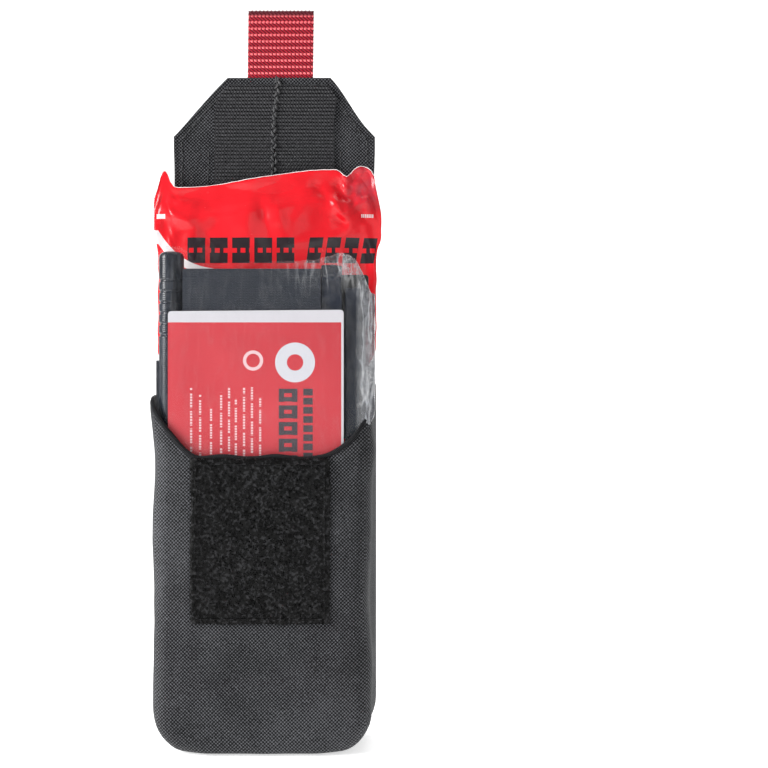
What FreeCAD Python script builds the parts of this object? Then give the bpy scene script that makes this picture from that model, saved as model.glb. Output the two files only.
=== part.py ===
"""Belt kit with a sealed tourniquet and a sealed gauze packet, flap open and both packs half drawn.

Millimetres. X runs across the pouch, +Y towards the wearer, +Z up. The origin is the middle of the
flat base that the pouch stands on. Every piece is its own solid in its own file under parts/.
"""

import FreeCAD, Part

import math
import os

from FreeCAD import Vector

# ---- driving dimensions -------------------------------------------------------------------------
pouch_width = 84.0          # outside, across the front shell
pouch_height = 125.0        # base to the crease where the flap folds forward
base_corner_radius = 15.0   # lower corners seen from the front
front_edge_radius = 8.0     # where the front turns into the sides and the base
shell_cloth = 1.2
mouth_back_drop = 2.5       # mouth line below the crease, at the back panel
mouth_corner_drop = 5.5     # and at the front corners
mouth_dip_drop = 15.2       # and at its lowest, front centre
mouth_dip_half_width = 37.0
hem_thickness = 0.5
hem_depth = 10.0

panel_cloth = 0.9           # back panel's outer ply
stiffener_thickness = 0.8
lining_cloth = 0.6
stiffener_inset = 4.0

loop_patch_width = 50.8
loop_patch_height = 60.3
loop_patch_thickness = 1.8
loop_patch_drop = 0.8       # below the dip of the mouth

flap_width = 76.4
flap_reach = 93.0           # front crease to the square end
flap_outer_cloth = 0.8
flap_stiffener_thickness = 0.4
flap_lining_cloth = 0.6
flap_chamfer_across = 20.0
flap_chamfer_along = 21.5
flap_stiffener_inset = 5.0
hook_tape_width = 22.6
hook_tape_length = 56.0
hook_tape_thickness = 1.1
hook_tape_split = 0.5       # between the two strips
tape_closed_gap = 0.9       # hook tape to loop patch, room for the patch's stitches
hook_tape_margin = 3.0      # from the flap's edge

tab_width = 25.4
tab_reach = 26.8            # loop showing past the flap's end
tab_cloth = 1.15
tab_offset = 1.2            # sewn a little off centre

belt_strap_width = 50.0
belt_strap_cloth = 1.5
belt_gap = 5.0              # room for the belt
belt_slot_drop = 23.0       # top of the slot below the crease
belt_slot_height = 62.0
belt_slope = 8.0            # the strap's run from the panel out to its full gap
anchor_height = 12.0        # the sewn top of the belt strap
strap_bend_radius = 3.0
strap_tongue = 22.0         # below the slot, lying on the panel
snap_spacing = 26.0
snap_cap_radius = 6.2
snap_cap_thickness = 1.3
snap_socket_radius = 5.4
snap_post_radius = 1.6
snap_stud_radius = 2.9
snap_stud_height = 1.4
snap_flange_radius = 5.6
snap_flange_thickness = 0.6
snap_clearance = 0.3

pack_top_room = 5.0         # stowed tourniquet pack below the crease
pack_stowed_base = 5.0
pack_draw = 67.0            # how far the pack stands drawn out of the pouch
film_thickness = 0.25

card_left_margin = 0.0      # from where the film's rounded front edges end
card_right_margin = 5.2
card_top_drop = 24.5        # below the top of the pack
card_corner_room = 4.5      # how far the card reaches into the film's rounded base corner
card_thickness = 0.4
card_corner_radius = 2.0

band_width = 50.8
band_cloth = 1.4
band_plies = 7
ply_gap = 0.2
band_top_drop = 8.5
band_base_rise = 4.5

rod_radius = 4.6
rod_top_room = 2.0          # rod's ends to the film
rod_base_room = 8.5
rod_end_radius = 2.2
rod_slot_width = 2.4
rod_slot_length = 27.0
rod_grooves = 6
ribbon_width = 24.0
ribbon_cloth = 0.9
ribbon_gap = 0.15

plate_width = 58.0
plate_top_drop = 3.0        # below the band's top
plate_side_room = 1.5
plate_thickness = 1.6
plate_corner_radius = 6.0
plate_slot_width = 52.0
plate_slot_height = 4.0

clip_width = 26.0
clip_height = 20.0
clip_floor = 1.0
clip_arm_thickness = 2.2
clip_arm_rise = 3.6

buckle_width = 58.0
buckle_height = 22.0
buckle_thickness = 4.2
buckle_rail = 4.2
buckle_bar_radius = 1.6
buckle_corner_room = 2.4    # how far the buckle reaches into the rounded base corner
buckle_plate_gap = 2.0

time_strap_width = 18.0
time_strap_cloth = 0.7

tip_side_gap = 2.5          # beside the folded band
tip_height = 20.0
tip_thickness = 3.0

gauze_top_room = 3.4        # stowed gauze packet below the crease
gauze_stowed_base = 6.0
gauze_draw = 96.0
gauze_neck_height = 33.0    # the part squeezed by the mouth
gauze_neck_squeeze = 4.0
foil_thickness = 0.25
foil_seal = 6.0
foil_edge_radius = 2.2
gauze_pad_margin = 10.0
gauze_plies = 5
gauze_ply_cloth = 1.2

gap = 0.3                   # between pieces that move against each other
slack = 0.4                 # between the packs and the pouch walls
thread_radius = 0.28
stitch_length = 3.4
stitch_pitch = 4.6
stitch_sink = 0.02          # how far a stitch stands clear of the cloth

# ---- thicknesses, front to back -----------------------------------------------------------------
band_pitch = band_cloth + ply_gap
band_depth = (band_plies - 1) * band_pitch + band_cloth
card_room = film_thickness + slack + card_thickness
bundle_depth = max(ply_gap + band_depth, gap + ribbon_cloth + 2 * rod_radius) + ribbon_gap
hardware_depth = plate_thickness + clip_arm_rise + ply_gap + time_strap_cloth
pack_thickness = (
    card_room + bundle_depth + ribbon_cloth + ribbon_gap + hardware_depth + gap + film_thickness
)
gauze_ply_pitch = gauze_ply_cloth + ply_gap
gauze_depth = (gauze_plies - 1) * gauze_ply_pitch + gauze_ply_cloth
gauze_packet_thickness = gauze_depth + 2 * foil_thickness + 2 * ply_gap
back_plies = panel_cloth + stiffener_thickness + lining_cloth
front_plies = shell_cloth + hem_thickness
flap_cloth = flap_outer_cloth + flap_stiffener_thickness + flap_lining_cloth
tape_room = max(0.0, flap_cloth + hook_tape_thickness - back_plies) + gap
pouch_depth = (
    front_plies + slack + pack_thickness + slack + gauze_packet_thickness + tape_room + back_plies
)

# ---- places that follow from them ---------------------------------------------------------------
back_y = pouch_depth / 2
front_y = -pouch_depth / 2
panel_front_y = back_y - panel_cloth
stiffener_front_y = panel_front_y - stiffener_thickness
lining_front_y = stiffener_front_y - lining_cloth
inner_front_y = front_y + front_plies
pack_front_y = inner_front_y + slack
pack_back_y = pack_front_y + pack_thickness
gauze_front_y = pack_back_y + slack
gauze_back_y = gauze_front_y + gauze_packet_thickness

flap_mid_y = back_y - flap_cloth / 2
flap_front_y = back_y - flap_cloth
crease_z = pouch_height
# Closed, the front of the flap lies with its hook tape against the loop patch.
bridge_length = (
    flap_mid_y - front_y + loop_patch_thickness + tape_closed_gap + hook_tape_thickness
    + flap_cloth / 2
)
front_crease_z = crease_z + bridge_length
flap_end_z = front_crease_z + flap_reach

mouth_back_height = crease_z - mouth_back_drop
mouth_corner_height = crease_z - mouth_corner_drop
mouth_dip_height = crease_z - mouth_dip_drop
loop_patch_top = mouth_dip_height - loop_patch_drop
belt_slot_top = crease_z - belt_slot_drop
belt_slot_bottom = belt_slot_top - belt_slot_height

inner_width = pouch_width - 2 * (front_plies + slack)
pack_width = inner_width
pack_height = crease_z - pack_top_room - pack_stowed_base
pack_base = pack_stowed_base + pack_draw
pack_top_z = pack_base + pack_height
film_front_round = front_edge_radius - front_plies - slack
film_base_round = base_corner_radius - front_plies - slack
card_left = -pack_width / 2 + film_front_round + card_left_margin
card_right = pack_width / 2 - film_front_round - card_right_margin
card_base_z = pack_base + film_base_round - card_corner_room
rod_length = pack_height - rod_top_room - rod_base_room
gauze_packet_width = inner_width
gauze_neck_width = inner_width - 2 * gauze_neck_squeeze
gauze_packet_height = crease_z - gauze_top_room - gauze_stowed_base
gauze_packet_base = gauze_stowed_base + gauze_draw
gauze_pad_width = gauze_neck_width - 2 * gauze_pad_margin

os.makedirs("parts", exist_ok=True)
made = {}


# ---- small shape helpers ------------------------------------------------------------------------
def save(name, *solids):
    """Writes one node: one solid, or several separate ones that share the node."""
    found = [s for shape in solids for s in shape.Solids]
    shape = found[0] if len(found) == 1 else Part.makeCompound(found)
    made[name] = shape
    shape.exportStep(f"parts/{name}.step")


def box(x0, x1, y0, y1, z0, z1):
    return Part.makeBox(x1 - x0, y1 - y0, z1 - z0, Vector(x0, y0, z0))


def prism_y(points, y0, y1):
    """A straight-sided outline in XZ, drawn at y0 and pulled to y1."""
    ring = [Vector(x, y0, z) for x, z in points]
    face = Part.Face(Part.makePolygon(ring + ring[:1]))
    return face.extrude(Vector(0, y1 - y0, 0))


def prism_x(points, x0, x1):
    """A straight-sided outline in YZ, drawn at x0 and pulled to x1."""
    ring = [Vector(x0, y, z) for y, z in points]
    face = Part.Face(Part.makePolygon(ring + ring[:1]))
    return face.extrude(Vector(x1 - x0, 0, 0))


def edges_along(shape, axis, where=lambda middle: True):
    """Straight edges that run along an axis ('x', 'y' or 'z') and whose middle passes a test."""
    found = []
    for edge in shape.Edges:
        if edge.Curve.TypeId != "Part::GeomLine":
            continue
        run = edge.Vertexes[-1].Point - edge.Vertexes[0].Point
        if abs(getattr(run, axis)) > 0.999 * run.Length and where(edge.CenterOfMass):
            found.append(edge)
    return found


def rim_at_y(shape, y):
    """The edges that lie wholly in the plane at y."""
    return [e for e in shape.Edges if abs(e.CenterOfMass.y - y) < 1e-4 and e.BoundBox.YLength < 1e-4]


def rounded_plate(x0, x1, z0, z1, y0, y1, radius, lower=True, upper=True):
    """A plate in XZ with its lower or upper corners rounded."""
    plate = box(x0, x1, y0, y1, z0, z1)
    middle = (z0 + z1) / 2
    corners = edges_along(
        plate, "y", lambda p: (p.z < middle and lower) or (p.z > middle and upper)
    )
    return plate.makeFillet(radius, corners)


def cylinder_y(radius, y0, y1, x, z):
    return Part.makeCylinder(radius, y1 - y0, Vector(x, y0, z), Vector(0, 1, 0))


def cylinder_x(radius, x0, x1, y, z):
    return Part.makeCylinder(radius, x1 - x0, Vector(x0, y, z), Vector(1, 0, 0))


def stitches(start, end, lift):
    """A row of separate thread stitches from start to end, lifted clear of the cloth along lift."""
    run = end - start
    count = max(1, int((run.Length - stitch_length) / stitch_pitch) + 1)
    along = run.normalize()
    side = lift.normalize() * (thread_radius + stitch_sink)
    first = (end - start).Length - (count - 1) * stitch_pitch - stitch_length
    row = []
    for i in range(count):
        place = start + along * (first / 2 + i * stitch_pitch) + side
        row.append(Part.makeCylinder(thread_radius, stitch_length, place, along))
    return row


def folded_stack(x0, x1, first_y, pitch, cloth, plies, z0, z1):
    """Cloth folded to and fro: flat plies joined by half-round folds at alternate ends."""
    bend = (pitch + cloth) / 2
    low, high = z0 + bend, z1 - bend
    stack = None
    for i in range(plies):
        y = first_y + i * pitch
        ply = box(x0, x1, y, y + cloth, low, high)
        stack = ply if stack is None else stack.fuse(ply)
        if i < plies - 1:
            top = i % 2 == 0
            middle_y, middle_z = y + (pitch + cloth) / 2, high if top else low
            ring = cylinder_x(bend, x0, x1, middle_y, middle_z).cut(
                cylinder_x(bend - cloth, x0, x1, middle_y, middle_z)
            )
            far = middle_z + bend if top else middle_z - bend
            half = box(x0, x1, middle_y - bend, middle_y + bend, min(middle_z, far), max(middle_z, far))
            stack = stack.fuse(ring.common(half))
    return stack.removeSplitter()


# ---- pouch: back --------------------------------------------------------------------------------
def back_outline_plate(y0, y1, inset, top):
    half = pouch_width / 2 - inset
    return rounded_plate(-half, half, inset, top, y0, y1, base_corner_radius - inset, upper=False)


def make_back():
    top = crease_z - flap_cloth / 2 - gap
    panel = back_outline_plate(panel_front_y, back_y, 0.0, top)
    save("back_panel", panel)
    stiffener = back_outline_plate(stiffener_front_y, panel_front_y, stiffener_inset, top - stiffener_inset)
    save("back_stiffener", stiffener)
    lining = back_outline_plate(lining_front_y, stiffener_front_y, shell_cloth, top)
    save("back_lining", lining)


# ---- pouch: front shell -------------------------------------------------------------------------
def shell_form(inset):
    """The pouch's closed form, drawn in by inset; the back face is left past the shell's rear edge."""
    half = pouch_width / 2 - inset
    form = box(-half, half, front_y + inset, back_y, inset, pouch_height)
    form = form.makeFillet(
        base_corner_radius - inset, edges_along(form, "y", lambda p: p.z < pouch_height / 2)
    )
    rim = [
        e
        for e in form.Edges
        if abs(e.BoundBox.YMax - (front_y + inset)) < 1e-4 and e.BoundBox.ZMin < pouch_height - 1
    ]
    return form.makeFillet(front_edge_radius - inset, rim)


def above_mouth(rise):
    """All the space above the mouth line, with the line moved up by rise."""
    slope = prism_x(
        [
            (front_y - 5, mouth_corner_height + rise),
            (front_y, mouth_corner_height + rise),
            (back_y, mouth_back_height + rise),
            (back_y, pouch_height + 60),
            (front_y - 5, pouch_height + 60),
        ],
        -pouch_width,
        pouch_width,
    )
    drop = mouth_corner_height - mouth_dip_height
    radius = (mouth_dip_half_width**2 + drop**2) / (2 * drop)
    dip = cylinder_y(
        radius, front_y - 5, front_y + pouch_depth / 3, 0, mouth_dip_height + radius + rise
    )
    return slope.fuse(dip)


def make_shell():
    behind = box(-pouch_width, pouch_width, panel_front_y, back_y + 1, -1, pouch_height + 1)
    shell = shell_form(0).cut(shell_form(shell_cloth)).cut(behind).cut(above_mouth(0))
    save("front_shell", shell)
    hem = shell_form(shell_cloth).cut(shell_form(shell_cloth + hem_thickness))
    past_lining = box(-pouch_width, pouch_width, lining_front_y, back_y + 1, -1, pouch_height + 1)
    hem = hem.cut(past_lining).cut(above_mouth(0)).common(above_mouth(-hem_depth))
    save("mouth_hem", hem)


def make_seam_binding():
    """Tape over the inside seam where the shell meets the lining, round the sides and the base."""
    width, thick = 5.0, 0.5
    outer = shell_form(shell_cloth)
    inner = shell_form(shell_cloth + thick)
    strip = outer.cut(inner)
    keep = box(
        -pouch_width, pouch_width, lining_front_y - width, lining_front_y,
        -1, mouth_corner_height - hem_depth - 1,
    )
    save("seam_binding", strip.common(keep))


def make_loop_patch():
    half = loop_patch_width / 2
    low = loop_patch_top - loop_patch_height
    patch = box(-half, half, front_y - loop_patch_thickness, front_y, low, loop_patch_top)
    patch = patch.makeFillet(0.6, rim_at_y(patch, front_y - loop_patch_thickness))
    save("loop_patch", patch)
    y = front_y - loop_patch_thickness
    inset = 2.0
    left, right = -half + inset, half - inset
    bottom, top = low + inset, loop_patch_top - inset
    out = Vector(0, -1, 0)
    rows = []
    for a, b in [
        ((left, bottom + 1), (left, top - 1)),
        ((right, bottom + 1), (right, top - 1)),
        ((left + 1, bottom), (right - 1, bottom)),
        ((left + 1, top), (right - 1, top)),
    ]:
        rows += stitches(Vector(a[0], y, a[1]), Vector(b[0], y, b[1]), out)
    save("loop_patch_stitching", *rows)


# ---- belt strap on the back ---------------------------------------------------------------------
strap_top_z = belt_slot_top + anchor_height
strap_hinge_z = belt_slot_top
strap_hinge_y = back_y + belt_strap_cloth / 2 + gap
strap_bottom_z = belt_slot_bottom - strap_tongue
snap_z = strap_bottom_z + strap_tongue / 2
strap_in_y = back_y + snap_stud_height + 0.5


def make_belt_strap():
    half = belt_strap_width / 2
    anchor = rounded_plate(
        -half, half, strap_hinge_z + belt_strap_cloth, strap_top_z,
        back_y, back_y + belt_strap_cloth, 1.0, lower=False,
    )
    save("belt_strap_anchor", anchor)
    y0, t = back_y + gap, belt_strap_cloth
    out_y = back_y + belt_gap
    low_y = strap_in_y
    inner = [
        (y0, strap_hinge_z),
        (out_y, strap_hinge_z - belt_slope),
        (out_y, belt_slot_bottom + belt_slope),
        (low_y, belt_slot_bottom),
        (low_y, strap_bottom_z),
    ]
    outer = [(y + t, z) for y, z in reversed(inner)]
    strap = prism_x(inner + outer, -half, half)
    bends = edges_along(
        strap, "x", lambda p: strap_bottom_z + 1 < p.z < strap_hinge_z - 1
    )
    strap = strap.makeFillet(strap_bend_radius, [e for e in bends if e.CenterOfMass.y > out_y - 0.1])
    bead = cylinder_x(t / 2, -half, half, strap_hinge_y, strap_hinge_z)
    strap = strap.fuse(bead).removeSplitter()
    for x in (-snap_spacing / 2, snap_spacing / 2):
        strap = strap.cut(cylinder_y(snap_post_radius, low_y - 1, low_y + t + 1, x, snap_z))
    save("belt_strap", strap)

    out = Vector(0, 1, 0)
    y = back_y + belt_strap_cloth
    low, high = strap_hinge_z + belt_strap_cloth + 2, strap_top_z - 2
    left, right = -half + 3, half - 3
    rows = []
    for a, b in [((left, low), (right, low)), ((left, high), (right, high))]:
        rows += stitches(Vector(a[0], y, a[1]), Vector(b[0], y, b[1]), out)
    save("belt_anchor_stitching", *rows)


def make_snaps():
    studs, sockets, caps = [], [], []
    for x in (-snap_spacing / 2, snap_spacing / 2):
        flange = cylinder_y(snap_flange_radius, back_y, back_y + snap_flange_thickness, x, snap_z)
        neck = cylinder_y(snap_stud_radius, back_y, back_y + snap_stud_height, x, snap_z)
        dome = neck.makeFillet(0.5, rim_at_y(neck, back_y + snap_stud_height))
        studs.append(flange.fuse(dome).removeSplitter())
        # The socket is let into the strap's inner side, with the stud's clearance in its mouth.
        socket_y0 = back_y + snap_flange_thickness + gap
        socket = cylinder_y(snap_socket_radius, socket_y0, strap_in_y, x, snap_z)
        socket = socket.cut(
            cylinder_y(snap_stud_radius + snap_clearance, socket_y0 - 1, strap_in_y + 1, x, snap_z)
        )
        sockets.append(socket)
        post = cylinder_y(snap_post_radius, strap_in_y, strap_in_y + belt_strap_cloth, x, snap_z)
        cap_y = strap_in_y + belt_strap_cloth
        cap = cylinder_y(snap_cap_radius, cap_y, cap_y + snap_cap_thickness, x, snap_z)
        cap = cap.makeFillet(0.9, rim_at_y(cap, cap_y + snap_cap_thickness))
        caps.append(cap.fuse(post).removeSplitter())
    save("snap_studs", *studs)
    save("snap_sockets", *sockets)
    save("snap_caps", *caps)


# ---- flap ---------------------------------------------------------------------------------------
def flap_outline(inset, z0):
    """The flap's outline from z0 to its chamfered end, drawn in by inset."""
    half = flap_width / 2 - inset
    end = flap_end_z - inset
    slant = math.hypot(flap_chamfer_across, flap_chamfer_along)
    # moving a slanted side in by inset moves its ends along the straight sides by these amounts
    along = inset * (slant - flap_chamfer_along) / flap_chamfer_across
    across = inset * (slant - flap_chamfer_across) / flap_chamfer_along
    shoulder = end - flap_chamfer_along + inset - along
    tip = flap_width / 2 - flap_chamfer_across - across
    return [(-half, z0), (half, z0), (half, shoulder), (tip, end), (-tip, end), (-half, shoulder)]


def bead(y0, y1, z, half):
    """The rounded end of a ply that turns about a crease."""
    round_end = cylinder_x(flap_cloth / 2, -half, half, flap_mid_y, z)
    return round_end.common(box(-half, half, y0, y1, z - flap_cloth, z + flap_cloth))


def make_bridge():
    half = flap_width / 2
    split_y = back_y - flap_outer_cloth - flap_stiffener_thickness
    low = crease_z
    high = front_crease_z - flap_cloth / 2 - gap
    outer = box(-half, half, split_y, back_y, low, high).fuse(bead(split_y, back_y, low, half))
    lining = box(-half, half, flap_front_y, split_y, low, high).fuse(
        bead(flap_front_y, split_y, low, half)
    )
    save("flap_bridge_cloth", outer.removeSplitter())
    save("flap_bridge_lining", lining.removeSplitter())


def make_flap():
    half = flap_width / 2
    outer_y = back_y - flap_outer_cloth
    split_y = outer_y - flap_stiffener_thickness
    low = front_crease_z
    outer = prism_y(flap_outline(0, low), outer_y, back_y)
    outer = outer.fuse(bead(outer_y, back_y, low, half))
    save("flap_cloth", outer.removeSplitter())
    core = prism_y(flap_outline(flap_stiffener_inset, low + flap_stiffener_inset), split_y, outer_y)
    save("flap_stiffener", core)
    lining = prism_y(flap_outline(0, low), flap_front_y, split_y)
    lining = lining.fuse(bead(flap_front_y, split_y, low, half))
    save("flap_lining", lining.removeSplitter())

    strip_low = flap_end_z - hook_tape_margin - hook_tape_length
    inside = prism_y(
        flap_outline(hook_tape_margin, low + 1), flap_front_y - hook_tape_thickness, flap_front_y
    )
    for name, x0, x1 in (
        ("hook_tape_left", -hook_tape_split / 2 - hook_tape_width, -hook_tape_split / 2),
        ("hook_tape_right", hook_tape_split / 2, hook_tape_split / 2 + hook_tape_width),
    ):
        strip = box(
            x0, x1, flap_front_y - hook_tape_thickness, flap_front_y, strip_low, flap_end_z
        )
        save(name, strip.common(inside))
    make_flap_stitching(strip_low)


def make_flap_stitching(strip_low):
    """Edge rows on the outside of the flap and the box row that holds the hook tape."""
    out = Vector(0, 1, 0)
    rows = []
    for inset in (3.0, 8.0):
        points = flap_outline(inset, front_crease_z + 3)
        ring = [Vector(x, back_y, z) for x, z in points]
        sides = [(ring[1], ring[2]), (ring[5], ring[0])]
        if inset < 5:
            sides += [(ring[2], ring[3]), (ring[3], ring[4]), (ring[4], ring[5])]
        for a, b in sides:
            rows += stitches(a, b, out)
    save("flap_edge_stitching", *rows)
    half = hook_tape_width + hook_tape_split / 2 - 1.2
    top = flap_end_z - flap_chamfer_along / 3
    rows = []
    for a, b in [
        ((-half, strip_low + 2), (-half, top - 2)),
        ((half, strip_low + 2), (half, top - 2)),
        ((-half + 2, strip_low + 1), (half - 2, strip_low + 1)),
        ((0.0, strip_low + 3), (0.0, flap_end_z - 6)),
    ]:
        rows += stitches(Vector(a[0], back_y, a[1]), Vector(b[0], back_y, b[1]), out)
    save("hook_tape_stitching", *rows)


tab_hinge_z = flap_end_z + tab_cloth + gap


def make_tab():
    """A folded loop of webbing past the flap's end, with a round root that it flexes about."""
    x0, x1 = tab_offset - tab_width / 2, tab_offset + tab_width / 2
    reach = flap_end_z + tab_reach - tab_cloth
    plies = box(x0, x1, flap_mid_y - tab_cloth, flap_mid_y + tab_cloth, tab_hinge_z, reach)
    root = cylinder_x(tab_cloth, x0, x1, flap_mid_y, tab_hinge_z)
    fold = cylinder_x(tab_cloth, x0, x1, flap_mid_y, reach)
    save("pull_tab", plies.fuse([root, fold]).removeSplitter())


# ---- tourniquet pack ----------------------------------------------------------------------------
pack_half = pack_width / 2
inside_left = -pack_half + film_thickness + 0.1
inside_right = pack_half - film_thickness - 0.1
inside_front_y = pack_front_y + film_thickness
card_front_y = inside_front_y + slack
card_back_y = card_front_y + card_thickness
rod_x = inside_left + ribbon_cloth + ribbon_gap + rod_radius
rod_y = card_back_y + gap + ribbon_cloth + rod_radius
rod_top_z = pack_top_z - rod_top_room
rod_base_z = rod_top_z - rod_length
band_left = rod_x + rod_radius + gap
band_right = band_left + band_width
band_front_y = card_back_y + ply_gap
band_top_z = pack_top_z - band_top_drop
band_base_z = pack_base + band_base_rise
ribbon_back_y = card_back_y + bundle_depth
hardware_y = ribbon_back_y + ribbon_cloth + ribbon_gap
plate_left = inside_right - plate_width - plate_side_room
plate_top_z = band_top_z - plate_top_drop
buckle_base_z = pack_base + film_base_round - buckle_corner_room
buckle_top_z = buckle_base_z + buckle_height
plate_base_z = buckle_top_z + buckle_plate_gap
plate_mid_x = plate_left + plate_width / 2


def make_film():
    outer = rounded_film(0)
    inner = rounded_film(film_thickness)
    save("film_wrap", outer.cut(inner))


def rounded_film(inset):
    """The pack takes the shape of the pouch it was packed in, drawn up to where it is shown."""
    deep = front_plies + slack
    form = shell_form(deep + inset)
    keep = box(
        -pouch_width, pouch_width, front_y, pack_back_y - inset, 0, deep + pack_height - inset
    )
    form = form.common(keep)
    form.translate(Vector(0, 0, pack_base - deep))
    return form


def make_card():
    card_top_z = pack_top_z - card_top_drop
    save(
        "label_card",
        rounded_plate(
            card_left, card_right, card_base_z, card_top_z,
            card_front_y, card_back_y, card_corner_radius,
        ),
    )


def make_rod():
    rod = Part.makeCylinder(rod_radius, rod_length, Vector(rod_x, rod_y, rod_base_z))
    rod = rod.makeFillet(
        rod_end_radius, [e for e in rod.Edges if e.Curve.TypeId == "Part::GeomCircle"]
    )
    middle = rod_base_z + rod_length / 2
    slot = box(
        rod_x - rod_radius - 1, rod_x + rod_radius + 1,
        rod_y - rod_slot_width / 2, rod_y + rod_slot_width / 2,
        middle - rod_slot_length / 2, middle + rod_slot_length / 2,
    )
    slot = slot.makeFillet(1.1, edges_along(slot, "x"))
    grooves = None
    for side in (-1, 1):
        for i in range(rod_grooves):
            z = middle + side * (rod_slot_length / 2 + 8 + i * 4.0)
            ring = Part.makeTorus(rod_radius + 0.35, 0.75, Vector(rod_x, rod_y, z))
            grooves = ring if grooves is None else grooves.fuse(ring)
    save("windlass_rod", rod.cut(slot).cut(grooves))
    return middle


def make_ribbon(middle):
    """The inner ribbon: through the rod's slot, round the rod and back behind the band."""
    z0, z1 = middle - ribbon_width / 2, middle + ribbon_width / 2
    t = ribbon_cloth
    bend = rod_radius + ribbon_gap
    side = band_left - ribbon_gap
    through = box(rod_x - bend - t, side, rod_y - t / 2, rod_y + t / 2, z0, z1)
    axis = Vector(rod_x, rod_y, z0)
    ring = Part.makeCylinder(bend + t, z1 - z0, axis).cut(Part.makeCylinder(bend, z1 - z0, axis))
    wrap = ring.common(box(rod_x - bend - t, rod_x, rod_y - t / 2, rod_y + bend + t, z0, z1))
    low_y = rod_y + bend
    level = box(rod_x, side, low_y, low_y + t, z0, z1)
    riser = box(side - t, side, low_y, ribbon_back_y + t, z0, z1)
    behind = box(side - t, plate_mid_x + clip_width / 2, ribbon_back_y, ribbon_back_y + t, z0, z1)
    save("tension_ribbon", through.fuse([wrap, level, riser, behind]).removeSplitter())


def make_plate():
    y0, y1 = hardware_y, hardware_y + plate_thickness
    plate = rounded_plate(
        plate_left, plate_left + plate_width, plate_base_z, plate_top_z, y0, y1, plate_corner_radius
    )
    for z in (plate_base_z + 7, plate_top_z - 7):
        slot = box(
            plate_mid_x - plate_slot_width / 2, plate_mid_x + plate_slot_width / 2,
            y0 - 1, y1 + 1, z - plate_slot_height / 2, z + plate_slot_height / 2,
        )
        plate = plate.cut(slot.makeFillet(1.4, edges_along(slot, "y")))
    save("base_plate", plate)
    rivets = []
    for side in (-1, 1):
        rivets.append(
            cylinder_y(1.5, y1, y1 + 0.9, plate_mid_x + side * (clip_width / 2 + 5), clip_z())
        )
    save("plate_rivets", *rivets)


def clip_z():
    return plate_top_z - 24.0


def make_clip():
    """Hooked arms that hold the rod's end once it has been turned."""
    y0 = hardware_y + plate_thickness
    y1 = y0 + clip_floor
    z0, z1 = clip_z() - clip_height / 2, clip_z() + clip_height / 2
    x0, x1 = plate_mid_x - clip_width / 2, plate_mid_x + clip_width / 2
    clip = rounded_plate(x0, x1, z0, z1, y0, y1, 2.0)
    rise = y1 + clip_arm_rise - clip_floor
    for side in (-1, 1):
        edge = plate_mid_x + side * (clip_width / 2 - 0.5)
        inner = edge - side * clip_arm_thickness
        arm = box(min(edge, inner), max(edge, inner), y1, rise, z0 + 1, z1 - 1)
        lip = box(
            min(inner, inner - side * 2.6), max(inner, inner - side * 2.6),
            rise - 1.2, rise, z0 + 4, z1 - 4,
        )
        clip = clip.fuse([arm, lip])
    save("windlass_clip", clip.removeSplitter())


def make_buckle():
    y0 = hardware_y
    y1 = y0 + buckle_thickness
    z0, z1 = buckle_base_z, buckle_top_z
    x0 = plate_left + (plate_width - buckle_width) / 2
    x1 = x0 + buckle_width
    frame = rounded_plate(x0, x1, z0, z1, y0, y1, 3.0)
    opening = box(x0 + buckle_rail, x1 - buckle_rail, y0 - 1, y1 + 1, z0 + buckle_rail, z1 - buckle_rail)
    frame = frame.cut(opening)
    frame = frame.makeFillet(0.5, rim_at_y(frame, y1))
    middle_y, middle_z = (y0 + y1) / 2, (z0 + z1) / 2
    seat = cylinder_x(buckle_bar_radius, x0 + buckle_rail - 2, x1 - buckle_rail + 2, middle_y, middle_z)
    save("buckle_frame", frame.cut(seat))
    save("buckle_bar", seat)


def make_time_strap():
    """Pale writing strap laid across the clip and tucked behind the plate's edges."""
    y0 = hardware_y + plate_thickness + clip_arm_rise + ply_gap
    z0 = clip_z() - time_strap_width / 2
    x0, x1 = plate_left + 3, plate_left + plate_width - 3
    top = box(x0, x1, y0, y0 + time_strap_cloth, z0, z0 + time_strap_width)
    legs = [
        box(x, x + time_strap_cloth, hardware_y + plate_thickness, y0, z0, z0 + time_strap_width)
        for x in (x0, x1 - time_strap_cloth)
    ]
    save("time_strap", top.fuse(legs).removeSplitter())


def make_tip():
    """Moulded end of the band, tucked in beside the stack at the top right."""
    x0, x1 = band_right + tip_side_gap, inside_right - gap
    y0 = pack_front_y + film_front_round + gap
    tip = box(x0, x1, y0, y0 + tip_thickness, band_top_z - 2 - tip_height, band_top_z - 2)
    tip = tip.makeFillet(1.2, edges_along(tip, "y"))
    save("band_tip", tip)


def make_pack():
    make_film()
    make_card()
    save(
        "main_band",
        folded_stack(
            band_left, band_right, band_front_y, band_pitch, band_cloth, band_plies,
            band_base_z, band_top_z,
        ),
    )
    middle = make_rod()
    make_ribbon(middle)
    make_plate()
    make_clip()
    make_buckle()
    make_time_strap()
    make_tip()


# ---- gauze packet -------------------------------------------------------------------------------
def packet_outline(inset):
    """Seen from the front: a narrow neck in the pouch mouth and the full width above it."""
    neck, half = gauze_neck_width / 2 - inset, gauze_packet_width / 2 - inset
    base, top = gauze_packet_base + inset, gauze_packet_base + gauze_packet_height - inset
    flare = 14.0
    shoulder = gauze_packet_base + gauze_neck_height
    return [
        (-neck, base), (neck, base), (neck, shoulder), (half, shoulder + flare),
        (half, top), (-half, top), (-half, shoulder + flare), (-neck, shoulder),
    ]


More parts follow.
